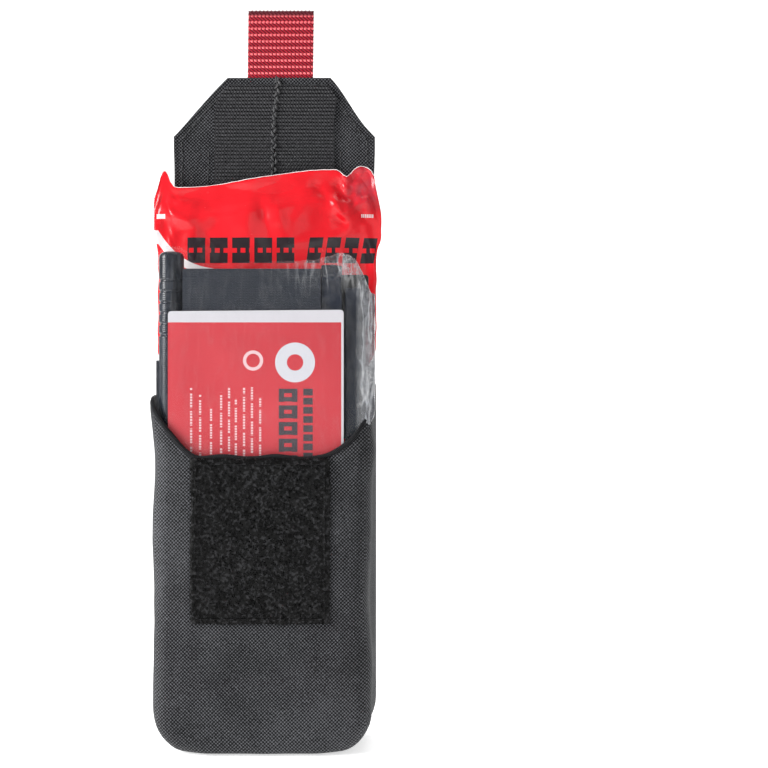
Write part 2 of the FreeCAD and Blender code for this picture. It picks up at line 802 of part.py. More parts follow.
def packet_half(name, seam_y, out):
    """One foil sheet: a flat sealed border and a dished middle that bulges towards out."""
    depth = gauze_packet_thickness / 2
    t = foil_thickness

    def slab(inset, a, b):
        low, high = sorted((seam_y + out * a, seam_y + out * b))
        return prism_y(packet_outline(inset), low, high)

    border = slab(0, 0, t)
    dish = slab(foil_seal, 0, depth)
    front = seam_y + out * depth
    dish = dish.makeFillet(foil_edge_radius, rim_at_y(dish, front))
    hollow = slab(foil_seal + t, 0, depth - t)
    inner = seam_y + out * (depth - t)
    hollow = hollow.makeFillet(foil_edge_radius - t, rim_at_y(hollow, inner))
    save(name, border.fuse(dish).cut(hollow).removeSplitter())


def make_gauze():
    seam_y = (gauze_front_y + gauze_back_y) / 2
    packet_half("packet_foil_front", seam_y, -1)
    packet_half("packet_foil_back", seam_y, 1)
    stack_depth = (gauze_plies - 1) * gauze_ply_pitch + gauze_ply_cloth
    half = gauze_pad_width / 2
    save(
        "folded_gauze",
        folded_stack(
            -half, half, seam_y - stack_depth / 2, gauze_ply_pitch, gauze_ply_cloth, gauze_plies,
            gauze_packet_base + foil_seal + 3, gauze_packet_base + gauze_packet_height - foil_seal - 3,
        ),
    )


def main():
    make_back()
    make_shell()
    make_seam_binding()
    make_loop_patch()
    make_belt_strap()
    make_snaps()
    make_bridge()
    make_flap()
    make_tab()
    make_pack()
    make_gauze()
    for name, shape in made.items():
        if not shape.isValid() or shape.Volume <= 0:
            print("BAD", name, shape.isValid(), shape.Volume)
    print(len(made), "nodes")
    print("back and flap middle y", round(back_y, 4), round(flap_mid_y, 4))
    print("creases and flap end z", crease_z, round(front_crease_z, 4), round(flap_end_z, 4))
    print("belt strap hinge y, z", round(strap_hinge_y, 4), strap_hinge_z, "slot", belt_slot_bottom)
    print("tab hinge z", round(tab_hinge_z, 4))


main()
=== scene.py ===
# %% [markdown]
# A belt pouch for a folded tourniquet, standing open with its flap up. The pouch and its flap are coarse
# woven nylon with a stiff sheet inside. A tourniquet sealed in clear film stands in front, a foil packet of
# gauze stands behind it. This lesson starts by loading the working parts, whose sizes and joints are
# already settled, and then gives every soft part its real look. All lengths below are metres, so MM turns
# millimetres into them.

# %% Load the working parts
import bpy
import math
import random
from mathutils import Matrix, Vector, noise


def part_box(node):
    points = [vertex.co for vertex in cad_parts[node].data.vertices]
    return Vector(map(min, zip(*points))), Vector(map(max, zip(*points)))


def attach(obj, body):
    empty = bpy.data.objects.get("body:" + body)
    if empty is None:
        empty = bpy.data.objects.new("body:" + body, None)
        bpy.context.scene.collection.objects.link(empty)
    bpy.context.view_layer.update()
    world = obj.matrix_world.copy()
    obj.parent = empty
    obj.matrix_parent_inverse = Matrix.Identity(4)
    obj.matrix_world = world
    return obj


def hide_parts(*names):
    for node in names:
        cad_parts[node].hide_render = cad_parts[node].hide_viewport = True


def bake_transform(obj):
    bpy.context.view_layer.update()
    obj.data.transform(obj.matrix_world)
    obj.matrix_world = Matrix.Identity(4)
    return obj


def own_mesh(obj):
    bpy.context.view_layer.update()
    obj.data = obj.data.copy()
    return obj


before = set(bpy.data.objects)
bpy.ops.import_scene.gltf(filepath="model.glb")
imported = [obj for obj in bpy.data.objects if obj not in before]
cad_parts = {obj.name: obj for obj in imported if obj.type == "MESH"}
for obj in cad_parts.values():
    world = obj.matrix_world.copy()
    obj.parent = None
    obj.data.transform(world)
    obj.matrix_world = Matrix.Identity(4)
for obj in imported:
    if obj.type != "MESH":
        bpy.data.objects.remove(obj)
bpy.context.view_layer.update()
MM = 0.001


# %% [markdown]
# Modelling by hand starts with nothing selected and one new shape. These few helpers do what a hand does in
# edit mode: start a box or a sheet at its size and place, cut it across at even steps so that it can bend,
# pick faces by a rule, and then push its points about like clay.

# %% Helpers for shaping
def start_clean():
    if bpy.context.object and bpy.context.object.mode == "EDIT":
        bpy.ops.object.mode_set(mode="OBJECT")
    bpy.ops.object.select_all(action="DESELECT")


def keep_new(name):
    piece = bpy.context.object
    piece.name = name
    piece.data.name = name
    bpy.ops.object.transform_apply(location=True, rotation=True, scale=True)
    return piece


def start_box(name, low, high):
    """A box between two corners, given in millimetres."""
    start_clean()
    middle = [(a + b) / 2 * MM for a, b in zip(low, high)]
    size = [(b - a) * MM for a, b in zip(low, high)]
    bpy.ops.mesh.primitive_cube_add(size=1, location=middle, scale=size)
    return keep_new(name)


def start_sheet(name, x_range, z_range, y, pitch):
    """An upright sheet facing the front, cut into cells of about one pitch (one number, or two), in mm."""
    start_clean()
    wide = x_range[1] - x_range[0]
    tall = z_range[1] - z_range[0]
    across, up = pitch if isinstance(pitch, tuple) else (pitch, pitch)
    bpy.ops.mesh.primitive_grid_add(
        x_subdivisions=max(1, round(wide / across)), y_subdivisions=max(1, round(tall / up)), size=1,
        location=(sum(x_range) / 2 * MM, y * MM, sum(z_range) / 2 * MM), rotation=(math.pi / 2, 0, 0))
    bpy.context.object.scale = (wide * MM, tall * MM, 1)
    return keep_new(name)


def pick(piece, rule, what="faces"):
    """Select only the faces whose middle and normal obey the rule, or the edges whose two ends do."""
    mesh = piece.data
    for group in (mesh.vertices, mesh.edges, mesh.polygons):
        for part in group:
            part.select = False
    if what == "faces":
        for face in mesh.polygons:
            face.select = rule(face.center / MM, face.normal)
    if what == "edges":
        for edge in mesh.edges:
            a, b = (mesh.vertices[i].co / MM for i in edge.vertices)
            edge.select = rule(a, b)


def in_edit(piece, mode, action):
    """Run one edit-mode action on what is selected, in face, edge or point mode."""
    bpy.context.view_layer.objects.active = piece
    bpy.ops.object.mode_set(mode="EDIT")
    bpy.ops.mesh.select_mode(type=mode)
    action()
    bpy.ops.object.mode_set(mode="OBJECT")


def round_edges(piece, offset, segments):
    """Bevel the edges that are selected; the offset is in mm."""
    in_edit(piece, "EDGE", lambda: bpy.ops.mesh.bevel(offset=offset * MM, segments=segments, affect="EDGES"))


def slice_across(piece, axis, places):
    """Cut the whole piece with a flat plane at each place along one axis (0 is x, 1 is y, 2 is z)."""
    bpy.context.view_layer.objects.active = piece
    bpy.ops.object.mode_set(mode="EDIT")
    normal = [0, 0, 0]
    normal[axis] = 1
    for place in places:
        point = [0, 0, 0]
        point[axis] = place * MM
        bpy.ops.mesh.select_all(action="SELECT")
        bpy.ops.mesh.bisect(plane_co=point, plane_no=normal)
    bpy.ops.object.mode_set(mode="OBJECT")


def steps(low, high, pitch):
    count = max(2, round((high - low) / pitch))
    return [low + (high - low) * i / count for i in range(1, count)]


def push(piece, rule):
    """Move every point by a rule that takes and gives millimetres."""
    for point in piece.data.vertices:
        x, y, z = point.co / MM
        point.co = Vector(rule(x, y, z)) * MM


def select_only(piece):
    bpy.ops.object.select_all(action="DESELECT")
    piece.select_set(True)
    bpy.context.view_layer.objects.active = piece


def finish_with(piece, kind, **settings):
    """Add one modifier and apply it at once."""
    select_only(piece)
    modifier = piece.modifiers.new(kind.title(), kind)
    for key, value in settings.items():
        setattr(modifier, key, value)
    bpy.ops.object.modifier_apply(modifier=modifier.name)


def soften(piece, width, degrees):
    """Round the edges that are sharper than an angle; the width is in mm."""
    limit = math.radians(degrees)
    finish_with(piece, "BEVEL", width=width * MM, segments=2, limit_method="ANGLE", angle_limit=limit)


def smooth(piece, degrees=40):
    select_only(piece)
    bpy.ops.object.shade_smooth_by_angle(angle=math.radians(degrees))


def join(name, pieces):
    bpy.ops.object.select_all(action="DESELECT")
    for piece in pieces:
        piece.select_set(True)
    bpy.context.view_layer.objects.active = pieces[0]
    if len(pieces) > 1:
        bpy.ops.object.join()
    pieces[0].name = name
    return pieces[0]


def metre_map(piece):
    """A UV map in metres, laid on each face from the side it faces, so bent cloth keeps its weave."""
    mesh = piece.data
    layer = mesh.uv_layers.get("metres") or mesh.uv_layers.new(name="metres")
    for face in mesh.polygons:
        sides = [abs(part) for part in face.normal]
        if sides[1] >= max(sides) * 0.8:
            a, b = 0, 2
        elif sides[0] >= sides[2]:
            a, b = 1, 2
        else:
            a, b = 0, 1
        for corner in face.loop_indices:
            spot = mesh.vertices[mesh.loops[corner].vertex_index].co
            layer.data[corner].uv = (spot[a], spot[b])


def ramp(value, low, high):
    """0 below low, 1 above high, and a smooth rise between."""
    part = min(1, max(0, (value - low) / (high - low)))
    return part * part * (3 - 2 * part)


def hump(value, middle, width):
    return math.exp(-((value - middle) / width) ** 2)


def ripple(x, z, size, seed):
    """Smooth unevenness between about -1 and 1, in lumps of the given size."""
    return noise.noise(Vector((x / size, z / size, seed)))


print("shaping helpers ready")


# %% [markdown]
# Finishes are node trees. A small class holds one node socket, and Python's own signs build the Math nodes,
# so a pattern reads like a formula. Everything that isn't arithmetic comes from one method that names the
# node.

# %% A socket that can be added and multiplied
class Wire:
    def __init__(self, finish, socket):
        self.finish = finish
        self.socket = socket

    def reckon(self, operation, *values):
        return self.finish.node("ShaderNodeMath", {"operation": operation}, dict(enumerate(values)))

    def __add__(self, other):
        return self.reckon("ADD", self, other)

    def __radd__(self, other):
        return self.reckon("ADD", other, self)

    def __sub__(self, other):
        return self.reckon("SUBTRACT", self, other)

    def __rsub__(self, other):
        return self.reckon("SUBTRACT", other, self)

    def __mul__(self, other):
        return self.reckon("MULTIPLY", self, other)

    def __rmul__(self, other):
        return self.reckon("MULTIPLY", other, self)

    def __truediv__(self, other):
        return self.reckon("DIVIDE", self, other)

    def __pow__(self, other):
        return self.reckon("POWER", self, other)

    def sine(self):
        return self.reckon("SINE", self)

    def size(self):
        return self.reckon("ABSOLUTE", self)

    def over(self, limit):
        return self.reckon("GREATER_THAN", self, limit)

    def under(self, limit):
        return self.reckon("LESS_THAN", self, limit)

    def past_whole(self):
        """What is left above the whole number below."""
        return self - self.reckon("FLOOR", self)

    def from_nearest(self):
        """How far it is from the nearest whole number, with its sign."""
        return self - self.reckon("ROUND", self)

    def kept(self):
        """Held between 0 and 1."""
        return self.reckon("MINIMUM", self.reckon("MAXIMUM", self, 0.0), 1.0)


# %% A finish: one material and its nodes
class Finish:
    def __init__(self, name, slot):
        self.material = bpy.data.materials.new(name)
        self.material.use_nodes = True
        self.slot = slot
        self.tree = self.material.node_tree
        self.shader = self.tree.nodes["Principled BSDF"]

    def node(self, kind, settings=None, sockets=None, out=0):
        """One node: its settings first, then its sockets' values or links, and the output that is wanted."""
        made = self.tree.nodes.new(kind)
        for key, value in (settings or {}).items():
            setattr(made, key, value)
        for key, value in (sockets or {}).items():
            if isinstance(value, Wire):
                self.tree.links.new(value.socket, made.inputs[key])
            else:
                made.inputs[key].default_value = value
        return Wire(self, made.outputs[out])

    def place(self):
        """The surface's own place, from its UV map in metres, as two wires."""
        spot = self.node("ShaderNodeUVMap", {"uv_map": "metres"})
        return self.parts(spot)[:2]

    def spot(self):
        return self.node("ShaderNodeTexCoord", out="Object")

    def parts(self, vector):
        split = self.node("ShaderNodeSeparateXYZ", sockets={0: vector})
        outputs = split.socket.node.outputs
        return [Wire(self, outputs[i]) for i in range(3)]

    def together(self, x=0.0, y=0.0, z=0.0):
        return self.node("ShaderNodeCombineXYZ", sockets={0: x, 1: y, 2: z})

    def noise(self, scale, detail=2.0, vector=None, rough=0.5):
        sockets = {"Vector": vector or self.spot(), "Scale": scale, "Detail": detail, "Roughness": rough}
        return self.node("ShaderNodeTexNoise", sockets=sockets)

    def mix(self, share, first, second):
        """Two colours mixed by a share from 0 to 1."""
        sockets = {0: share, 6: first, 7: second}
        return self.node("ShaderNodeMix", {"data_type": "RGBA"}, sockets, out=2)

    def tint(self, value, low, high, first, second):
        """A colour that goes from first to second as value goes from low to high."""
        share = ((value - low) / (high - low)).kept()
        return self.mix(share, first, second)

    def bump(self, height, depth, strength=1.0):
        sockets = {"Height": height, "Distance": depth, "Strength": strength}
        return self.node("ShaderNodeBump", sockets=sockets)

    def set(self, **sockets):
        """Feed the main shader; a name's underscores stand for spaces."""
        for key, value in sockets.items():
            socket = self.shader.inputs[key.replace("_", " ")]
            if isinstance(value, Wire):
                self.tree.links.new(value.socket, socket)
            else:
                socket.default_value = value
        return self

    def onto(self, *pieces):
        for piece in pieces:
            piece.data.materials.clear()
            piece.data.materials.append(self.material)


def shade(red, green=None, blue=None):
    """A colour from one grey or from three parts."""
    if green is None:
        green = blue = red
    return (red, green, blue, 1)


print("finish helpers ready")


# %% [markdown]
# The pouch cloth is a coarse plain weave: thick nylon threads pass over and under each other, so each
# crossing is a small lit bump and the bumps line up in slanting rows. Two sine waves multiplied give that
# chequer. Slow noise makes some threads duller than others, and the cloth has a faint sheen on its turned
# edges.

# %% Woven cloth finish
def woven(name, slot, dark, light, thread, depth, roughness=0.62, sheen=0.25):
    """A plain weave; thread is the distance between neighbouring threads."""
    cloth = Finish(name, slot)
    u, v = cloth.place()
    wobble = (cloth.noise(55.0, 3.0) - 0.5) * 0.0005
    across = ((u + wobble) * (math.pi / thread)).sine()
    along = ((v + wobble) * (math.pi / thread)).sine()
    crossing = across * along
    fleck = cloth.noise(2600.0, 2.0)
    patch = cloth.noise(38.0, 3.0)
    # Painted highlight: each thread crossing is painted lighter than the threads around it, on top of its
    # bump.
    lit = (crossing * 0.5 + 0.5) * 0.95 + (fleck - 0.5) * 1.1 + (patch - 0.5) * 0.5
    colour = cloth.tint(lit, 0.34, 1.02, shade(*dark), shade(*light))
    height = crossing + (fleck - 0.5) * 0.9
    cloth.set(Base_Color=colour, Roughness=(patch - 0.5) * 0.25 + roughness, Normal=cloth.bump(height, depth))
    cloth.set(Sheen_Weight=sheen, Sheen_Roughness=0.45, Specular_IOR_Level=0.12)
    return cloth


POUCH_THREAD = 0.66
TAPE_THREAD = 0.40
pouch_cloth = woven("pouch_cloth", "cordura", (0.001, 0.0012, 0.0018), (0.140, 0.143, 0.155),
                    POUCH_THREAD * MM, 0.20 * MM, sheen=0.05)
edge_tape = woven("edge_tape", "binding", (0.004, 0.004, 0.005), (0.026, 0.027, 0.030),
                  TAPE_THREAD * MM, 0.10 * MM, sheen=0.05)
print("pouch cloth:", POUCH_THREAD, "mm between threads")


# %% [markdown]
# The front, both sides and the base of the pouch are one sewn shell with an open top. It could be drawn as
# a thin box, but real nylon never stays flat: it bellies out over the load and pinches in below the mouth.
# So a box loses its top and back, gets round corners by bevelling, and is cut into small squares whose
# points are then pushed.

# %% Shell: box, open top and back, round corners
shell_low, shell_high = (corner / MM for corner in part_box("front_shell"))
HALF = shell_high[0]
FRONT = shell_low[1]
BACK = shell_high[1]
CORNER_BASE = 15.0
CORNER_FRONT = 8.0
CLOTH = 1.1
SHELL_TOP = 110.0

shell = start_box("pouch_shell", shell_low, (HALF, BACK, SHELL_TOP))
pick(shell, lambda c, n: n.z > 0.9 or n.y > 0.9)
in_edit(shell, "FACE", lambda: bpy.ops.mesh.delete(type="FACE"))
pick(shell, lambda a, b: abs(a.x - b.x) < 1 and a.z < 1 and b.z < 1 and abs(a.x) > HALF - 1, "edges")
round_edges(shell, CORNER_BASE, 9)
pick(shell, lambda a, b: max(a.y, b.y) < FRONT + 0.5 and min(a.z, b.z) <= SHELL_TOP - 1, "edges")
round_edges(shell, CORNER_FRONT, 7)
slice_across(shell, 0, steps(-HALF, HALF, 2.0))
slice_across(shell, 2, steps(0, SHELL_TOP, 2.0))
slice_across(shell, 1, steps(FRONT, BACK, 2.4))
print("shell squares:", len(shell.data.polygons))


# %% [markdown]
# Clay work on the shell: the mouth dips at the front and climbs to the back seam at each side, the side
# walls pinch in where nothing fills them, and the front bellies out in lumps. The mouth is made by
# stretching each column of squares to its own height.

# %% Shell: mouth line, belly and soft folds
MOUTH_DIP = 109.6
STRETCH_FROM = 46.0


def along_mouth(x, y):
    """How far round the mouth a point is from the middle of the front, with its sign."""
    reach = abs(x)
    if y > FRONT + CORNER_FRONT:
        reach = HALF - CORNER_FRONT + CORNER_FRONT * math.pi / 2 + y - FRONT - CORNER_FRONT
    elif abs(x) > HALF - CORNER_FRONT:
        turn = math.atan2(abs(x) - HALF + CORNER_FRONT, FRONT + CORNER_FRONT - y)
        reach = HALF - CORNER_FRONT + CORNER_FRONT * turn
    return math.copysign(reach, x)


def mouth_height(x, y):
    way = along_mouth(x, y)
    if way < 0:
        return MOUTH_DIP + 21.5 * ramp(-way, 22, 49) + 0.4 * math.sin(way * 0.35)
    return MOUTH_DIP + 15.0 * ramp(way, 22, 46) + 11.0 * ramp(way, 43, 66) + 0.4 * math.sin(way * 0.3)


def belly(x, z):
    """How far the front stands out from flat, in millimetres."""
    round_off = max(0.0, 1 - (x / 40) ** 2) * ramp(z, 4, 30)
    lumps = ripple(x, z, 26.0, 3.1) * 0.85 + ripple(x, z, 11.0, 8.4) * 0.35
    folds = 0.75 * hump(x + 28 - (z - 20) * 0.05, 0, 3.2) * ramp(z, 10, 28) * (1 - ramp(z, 75, 98))
    folds += 0.55 * hump(x - 29 + (z - 60) * 0.04, 0, 3.0) * ramp(z, 14, 34) * (1 - ramp(z, 80, 100))
    folds += 0.5 * hump(x + z * 0.9 - 2, 0, 5) * (1 - ramp(z, 18, 34))
    return round_off * (0.55 + lumps) + folds


def pinch(x, z):
    """How far a side wall comes in, in millimetres."""
    if x < 0:
        low_part = 0.4 * hump(z, 56, 15) - 0.5 * hump(z, 80, 10)
        return 1.6 + 0.5 * hump(z, 104, 10) - 1.2 * hump(z, 128, 9) + low_part
    return 1.5 + 1.1 * hump(z, 57, 17) - 2.9 * ramp(z, 98, 124) - 0.5 * hump(z, 30, 9)


def base_grow(x, y, z):
    """The base seam is tighter than a round bevel, so points on that curve move out from its centre."""
    down, ahead = CORNER_FRONT - z, FRONT + CORNER_FRONT - y
    if down <= 0 or ahead <= 0:
        return 1.0
    return 1 + (CORNER_FRONT / (down ** 4 + ahead ** 4) ** 0.25 - 1) * (1 - ramp(abs(x), 20, 30))


def shape_shell(x, y, z):
    grow = base_grow(x, y, z)
    if grow > 1:
        y = FRONT + CORNER_FRONT - (FRONT + CORNER_FRONT - y) * grow
        z = CORNER_FRONT - (CORNER_FRONT - z) * grow
    top = mouth_height(x, y)
    if z > STRETCH_FROM:
        z = STRETCH_FROM + (z - STRETCH_FROM) * (top - STRETCH_FROM) / (SHELL_TOP - STRETCH_FROM)
    frontness = 1 - ramp(y, -2, BACK - 1.5)
    sideness = ramp(abs(x), HALF - 14, HALF)
    x -= math.copysign(pinch(x, z) * frontness * sideness, x)
    x += 0.35 * ripple(y, z, 9.0, 5.5) * sideness * frontness
    y -= belly(x, z) * (1 - ramp(y, FRONT, FRONT + 7))
    lip = ramp(z, top - 9, top)
    y += 0.7 * lip * (1 - ramp(y, FRONT, FRONT + 9)) * ramp(abs(x), 14, 34)
    z += 0.5 * hump(x, -36, 4) * (1 - ramp(z, 2, 12))
    return x, y, z


pick(shell, lambda a, b: min(a.z, b.z) > SHELL_TOP - 0.1, "edges")
push(shell, shape_shell)
print("mouth edges:", sum(edge.select for edge in shell.data.edges))


# %% [markdown]
# The raw edge of the mouth is turned in and sewn down, so it reads as a soft black roll. The mouth edges
# that are still selected are copied off as a line of their own, and a round bevel on that line gives the
# roll. After that the shell gets its cloth thickness, inwards, and one subdivision to lose its flats.

# %% Mouth roll and cloth thickness
def roll_from_edges(piece, name, radius):
    """A round roll along the edges that are selected on the piece."""
    bpy.context.view_layer.objects.active = piece
    piece.select_set(True)
    bpy.ops.object.mode_set(mode="EDIT")
    bpy.ops.mesh.select_mode(type="EDGE")
    bpy.ops.mesh.duplicate()
    bpy.ops.mesh.separate(type="SELECTED")
    bpy.ops.object.mode_set(mode="OBJECT")
    roll = [o for o in bpy.context.selected_objects if o is not piece][0]
    start_clean()
    roll.select_set(True)
    bpy.context.view_layer.objects.active = roll
    bpy.ops.object.convert(target="CURVE")
    roll.data.bevel_depth = radius * MM
    roll.data.bevel_resolution = 3
    roll.data.use_fill_caps = True
    bpy.ops.object.convert(target="MESH")
    roll.name = name
    return roll


start_clean()
mouth_roll = roll_from_edges(shell, "mouth_roll", 1.0)


def shape_roll(x, y, z):
    z += 0.25 * ripple(x, y, 5.0, 2.2)
    y += 0.20 * ripple(x, z, 6.0, 7.2)
    x -= math.copysign(0.95, x) * ramp(abs(x), HALF - 8, HALF - 2)
    return x, y + 0.5 * (1 - ramp(y, FRONT, FRONT + 8)), z - 0.5


push(mouth_roll, shape_roll)
finish_with(shell, "SOLIDIFY", thickness=CLOTH * MM, offset=-1.0)
finish_with(shell, "SUBSURF", levels=1, render_levels=1)
smooth(shell, 50)
smooth(mouth_roll, 70)
metre_map(shell)
metre_map(mouth_roll)
pouch_cloth.onto(shell)
edge_tape.onto(mouth_roll)
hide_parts("front_shell", "seam_binding")
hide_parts("mouth_hem")
for piece in (shell, mouth_roll):
    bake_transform(piece)
print("shell triangles:", sum(len(face.vertices) - 2 for face in shell.data.polygons))


# %% [markdown]
# The back wall and the flap are one length of cloth over a stiff sheet. It runs from the base, up behind
# both packs, and stands as the open flap. It bends at two places when the flap closes, and a cloth piece
# can bend across one joint only, so it is made as two pieces that meet halfway up the bridge, where both
# follow the same body. Each starts as a box, and the front of the flap gets its turned hem by an inset that
# is pressed in a little.

# %% Back wall cloth
CREASE = 125.0
FRONT_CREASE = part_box("flap_cloth")[0].z / MM + 0.9
FLAP_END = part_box("flap_cloth")[1].z / MM
FLAP_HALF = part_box("flap_cloth")[1].x / MM
SPLIT = (CREASE + FRONT_CREASE) / 2
WALL_BACK = 16.75
WALL_FRONT = 14.45
FLAP_FRONT = 14.95
LEAN = 2.3
LEAN_END = 1.9


def flap_lean(z):
    """The open flap doesn't stand quite straight: it drifts to the right as it rises."""
    return LEAN * ramp(z, 140, 190) + LEAN_END * ramp(z, 236, 258)


back_wall = start_box("back_wall", (-HALF, WALL_FRONT, 0.0), (HALF, WALL_BACK, SPLIT))
pick(back_wall, lambda a, b: abs(a.x - b.x) < 1 and a.z < 1 and b.z < 1, "edges")
round_edges(back_wall, CORNER_BASE, 9)
slice_across(back_wall, 0, steps(-HALF, HALF, 3.0))
slice_across(back_wall, 2, steps(0, SPLIT, 3.0))


def shape_back(x, y, z):
    narrow = (HALF - FLAP_HALF) * ramp(z, CREASE - 4, CREASE + 2)
    x *= (HALF - narrow) / HALF
    x += flap_lean(z)
    x -= math.copysign(0.35 * (ripple(0, z, 13.0, 4.4 if x > 0 else 9.4) + 1.8), x) * ramp(abs(x), 36, 41)
    wave = 0.25 * ripple(x, z, 30.0, 1.7) * ramp(z, 2, 12)
    return x, y + wave * (1 - ramp(z, SPLIT - 12, SPLIT - 6)), z


push(back_wall, shape_back)
print("back wall up to", round(SPLIT, 1), "mm, crease at", CREASE)


# %% Flap cloth with its turned hem
FLAP_CUT_ACROSS = 18.6
FLAP_CUT_ALONG = 23.0
flap = start_box("flap_panel", (-FLAP_HALF, FLAP_FRONT, SPLIT), (FLAP_HALF, WALL_BACK, FLAP_END))
pick(flap, lambda a, b: abs(a.x - b.x) < 1 and min(a.z, b.z) > FLAP_END - 0.1, "edges")
round_edges(flap, FLAP_CUT_ACROSS, 1)
pick(flap, lambda c, n: n.y < -0.9)
in_edit(flap, "FACE", lambda: bpy.ops.mesh.inset(thickness=0.9 * MM, depth=0.0))
in_edit(flap, "FACE", lambda: bpy.ops.mesh.inset(thickness=0.5 * MM, depth=-0.35 * MM))
in_edit(flap, "FACE", lambda: bpy.ops.mesh.inset(thickness=0.8 * MM, depth=0.15 * MM))
slice_across(flap, 0, steps(-FLAP_HALF, FLAP_HALF, 2.5))
slice_across(flap, 2, steps(SPLIT, FLAP_END, 2.5))


def flap_wide(z):
    """How much wider the flap is than its base, where it stands clear of the packs."""
    return 1.0 + 0.022 * ramp(z, 170, 200)


def flap_wave(x, z):
    return 0.35 * ripple(x, z, 24.0, 5.2) * ramp(z, 172, 190)


def shape_flap(x, y, z):
    stretch = ramp(z, FLAP_END - FLAP_CUT_ACROSS - 0.1, FLAP_END)
    z -= (FLAP_CUT_ALONG - FLAP_CUT_ACROSS) * (1 - stretch) * ramp(z, 190, FLAP_END - FLAP_CUT_ACROSS)
    edge = 0.35 * ripple(0, z, 17.0, 6.1 if x > 0 else 2.9) * ramp(abs(x), 30, 38)
    x = x * flap_wide(z) + flap_lean(z) + edge
    return x, y + flap_wave(x, z), z


push(flap, shape_flap)
for piece in (back_wall, flap):
    soften(piece, 0.45, 50)
    smooth(piece, 45)
    metre_map(piece)
    pouch_cloth.onto(piece)
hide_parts("back_panel", "back_lining", "back_stiffener", "flap_bridge_lining")
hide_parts("flap_cloth", "flap_lining", "flap_stiffener", "flap_bridge_cloth")
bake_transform(back_wall)
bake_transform(flap)
print("flap squares:", len(flap.data.polygons))


# %% [markdown]
# The loop patch is the soft half of a hook-and-loop pair: a pad of tiny nylon loops. A bumpy surface alone
# looks like rubber, so real loops are stood on it. One loop is a thin ring half sunk in the pad. A few
# dozen rings, each turned and sized by chance from a fixed seed, make a tile, and turned copies of the tile
# cover the patch.

# %% Loop patch: pad and one tile of loops
patch_low, patch_high = (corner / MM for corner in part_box("loop_patch"))
random.seed(7)


def patch_lift(x, z):
    return belly(x, z) * 0.9


patch_pad = start_sheet("patch_pad", (patch_low.x, patch_high.x), (patch_low.z, patch_high.z),
                        patch_low.y + 0.55, 0.8)
finish_with(patch_pad, "SOLIDIFY", thickness=1.2 * MM, offset=-1.0)


def fluff(x, y, z):
    edge = 0.35 * ripple(x, z, 2.1, 3.3)
    front = 1 if y < patch_low.y + 1.0 else 0
    lift = 0.22 * ripple(x, z, 1.6, 1.1) * front
    rim = min(x - patch_low.x, patch_high.x - x, z - patch_low.z, patch_high.z - z)
    sink = 0.6 * front * (1 - min(1, rim / 0.9 + 0.2))
    return x + edge, y - lift + sink - patch_lift(x, z), z + edge


push(patch_pad, fluff)


def scatter(source, name, spots):
    """Copies of one small shape, each with its own mesh, at the given 4x4 places, joined into one piece."""
    copies = []
    for spot in spots:
        one = source.copy()
        one.data = source.data.copy()
        one.data.transform(spot)
        bpy.context.collection.objects.link(one)
        copies.append(one)
    whole = join(name, copies)
    bpy.data.objects.remove(source)
    return whole


start_clean()
bpy.ops.mesh.primitive_torus_add(major_segments=6, minor_segments=3,
                                 major_radius=0.48 * MM, minor_radius=0.07 * MM)
ring = keep_new("loop_ring")
TILES = 4
TILE = (patch_high.x - patch_low.x) / TILES
TILE_UP = (patch_high.z - patch_low.z) / TILES
LOOPS = 320
spots = []
for count in range(LOOPS):
    axis = Vector((random.uniform(-1, 1), random.uniform(-0.35, 0.35), random.uniform(-1, 1)))
    turn = axis.to_track_quat("Z", "Y")
    place = Vector((random.uniform(0, TILE), random.uniform(-0.28, 0.12), random.uniform(0, TILE_UP))) * MM
    grow = random.uniform(0.7, 1.25)
    spots.append(turn.to_matrix().to_4x4() * grow)
    spots[-1].translation = place
    spots[-1][3][3] = 1
tile = scatter(ring, "loop_tile", spots)
print("loops in a tile:", len(spots))

# %% Loop patch: tiles over the whole pad
spots = []
for column in range(TILES):
    for row in range(TILES):
        shift = Vector((patch_low.x + column * TILE, patch_low.y + 0.45, patch_low.z + row * TILE_UP)) * MM
        flips = [(1, 1), (-1, 1), (1, -1), (-1, -1)][random.randrange(4)]
        spot = tile.matrix_world.copy()
        spot[0][0], spot[2][2] = flips
        back = Vector((TILE * MM if flips[0] < 0 else 0, 0, TILE_UP * MM if flips[1] < 0 else 0))
        spot.translation = shift + back
        spots.append(spot)
patch_loops = scatter(tile, "patch_loops", spots)


def ragged(place, x, z, seed):
    """An edge that frays by half a millimetre either way."""
    return place + 0.5 * ripple(x, z, 0.7, seed)


def hold_loops(x, y, z):
    x = min(max(x, ragged(patch_low.x - 0.5, x, z, 4)), ragged(patch_high.x + 0.5, x, z, 6))
    z = min(max(z, ragged(patch_low.z - 0.5, x, z, 5)), ragged(patch_high.z + 0.5, x, z, 9))
    return x, y - patch_lift(x, z) + 0.25 * ripple(x, z, 7.0, 2.0), z


push(patch_loops, hold_loops)
pile = Finish("loop_pile", "loop_pile")
tuft = pile.noise(420.0, 3.0)
glint = pile.noise(900.0, 1.0)
pile_dark, pile_light = shade(0.003, 0.003, 0.0035), shade(0.034, 0.034, 0.036)
pile_colour = pile.mix((glint - 0.56).over(0.0) * 0.8, pile_dark, pile_light)
pile_shade = pile.tint(tuft, 0.35, 0.7, shade(0.0012), shade(0.008))
pile.set(Base_Color=pile.mix(((glint - 0.53) * 14).kept(), pile_shade, pile_colour), Roughness=0.42)
pile.set(Normal=pile.bump(tuft, 0.3 * MM), Specular_IOR_Level=0.12)
for piece in (patch_pad, patch_loops):
    metre_map(piece)
    smooth(piece, 80)
    pile.onto(piece)
    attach(piece, "pouch")
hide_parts("loop_patch")
print("loops on the patch:", LOOPS * TILES ** 2)


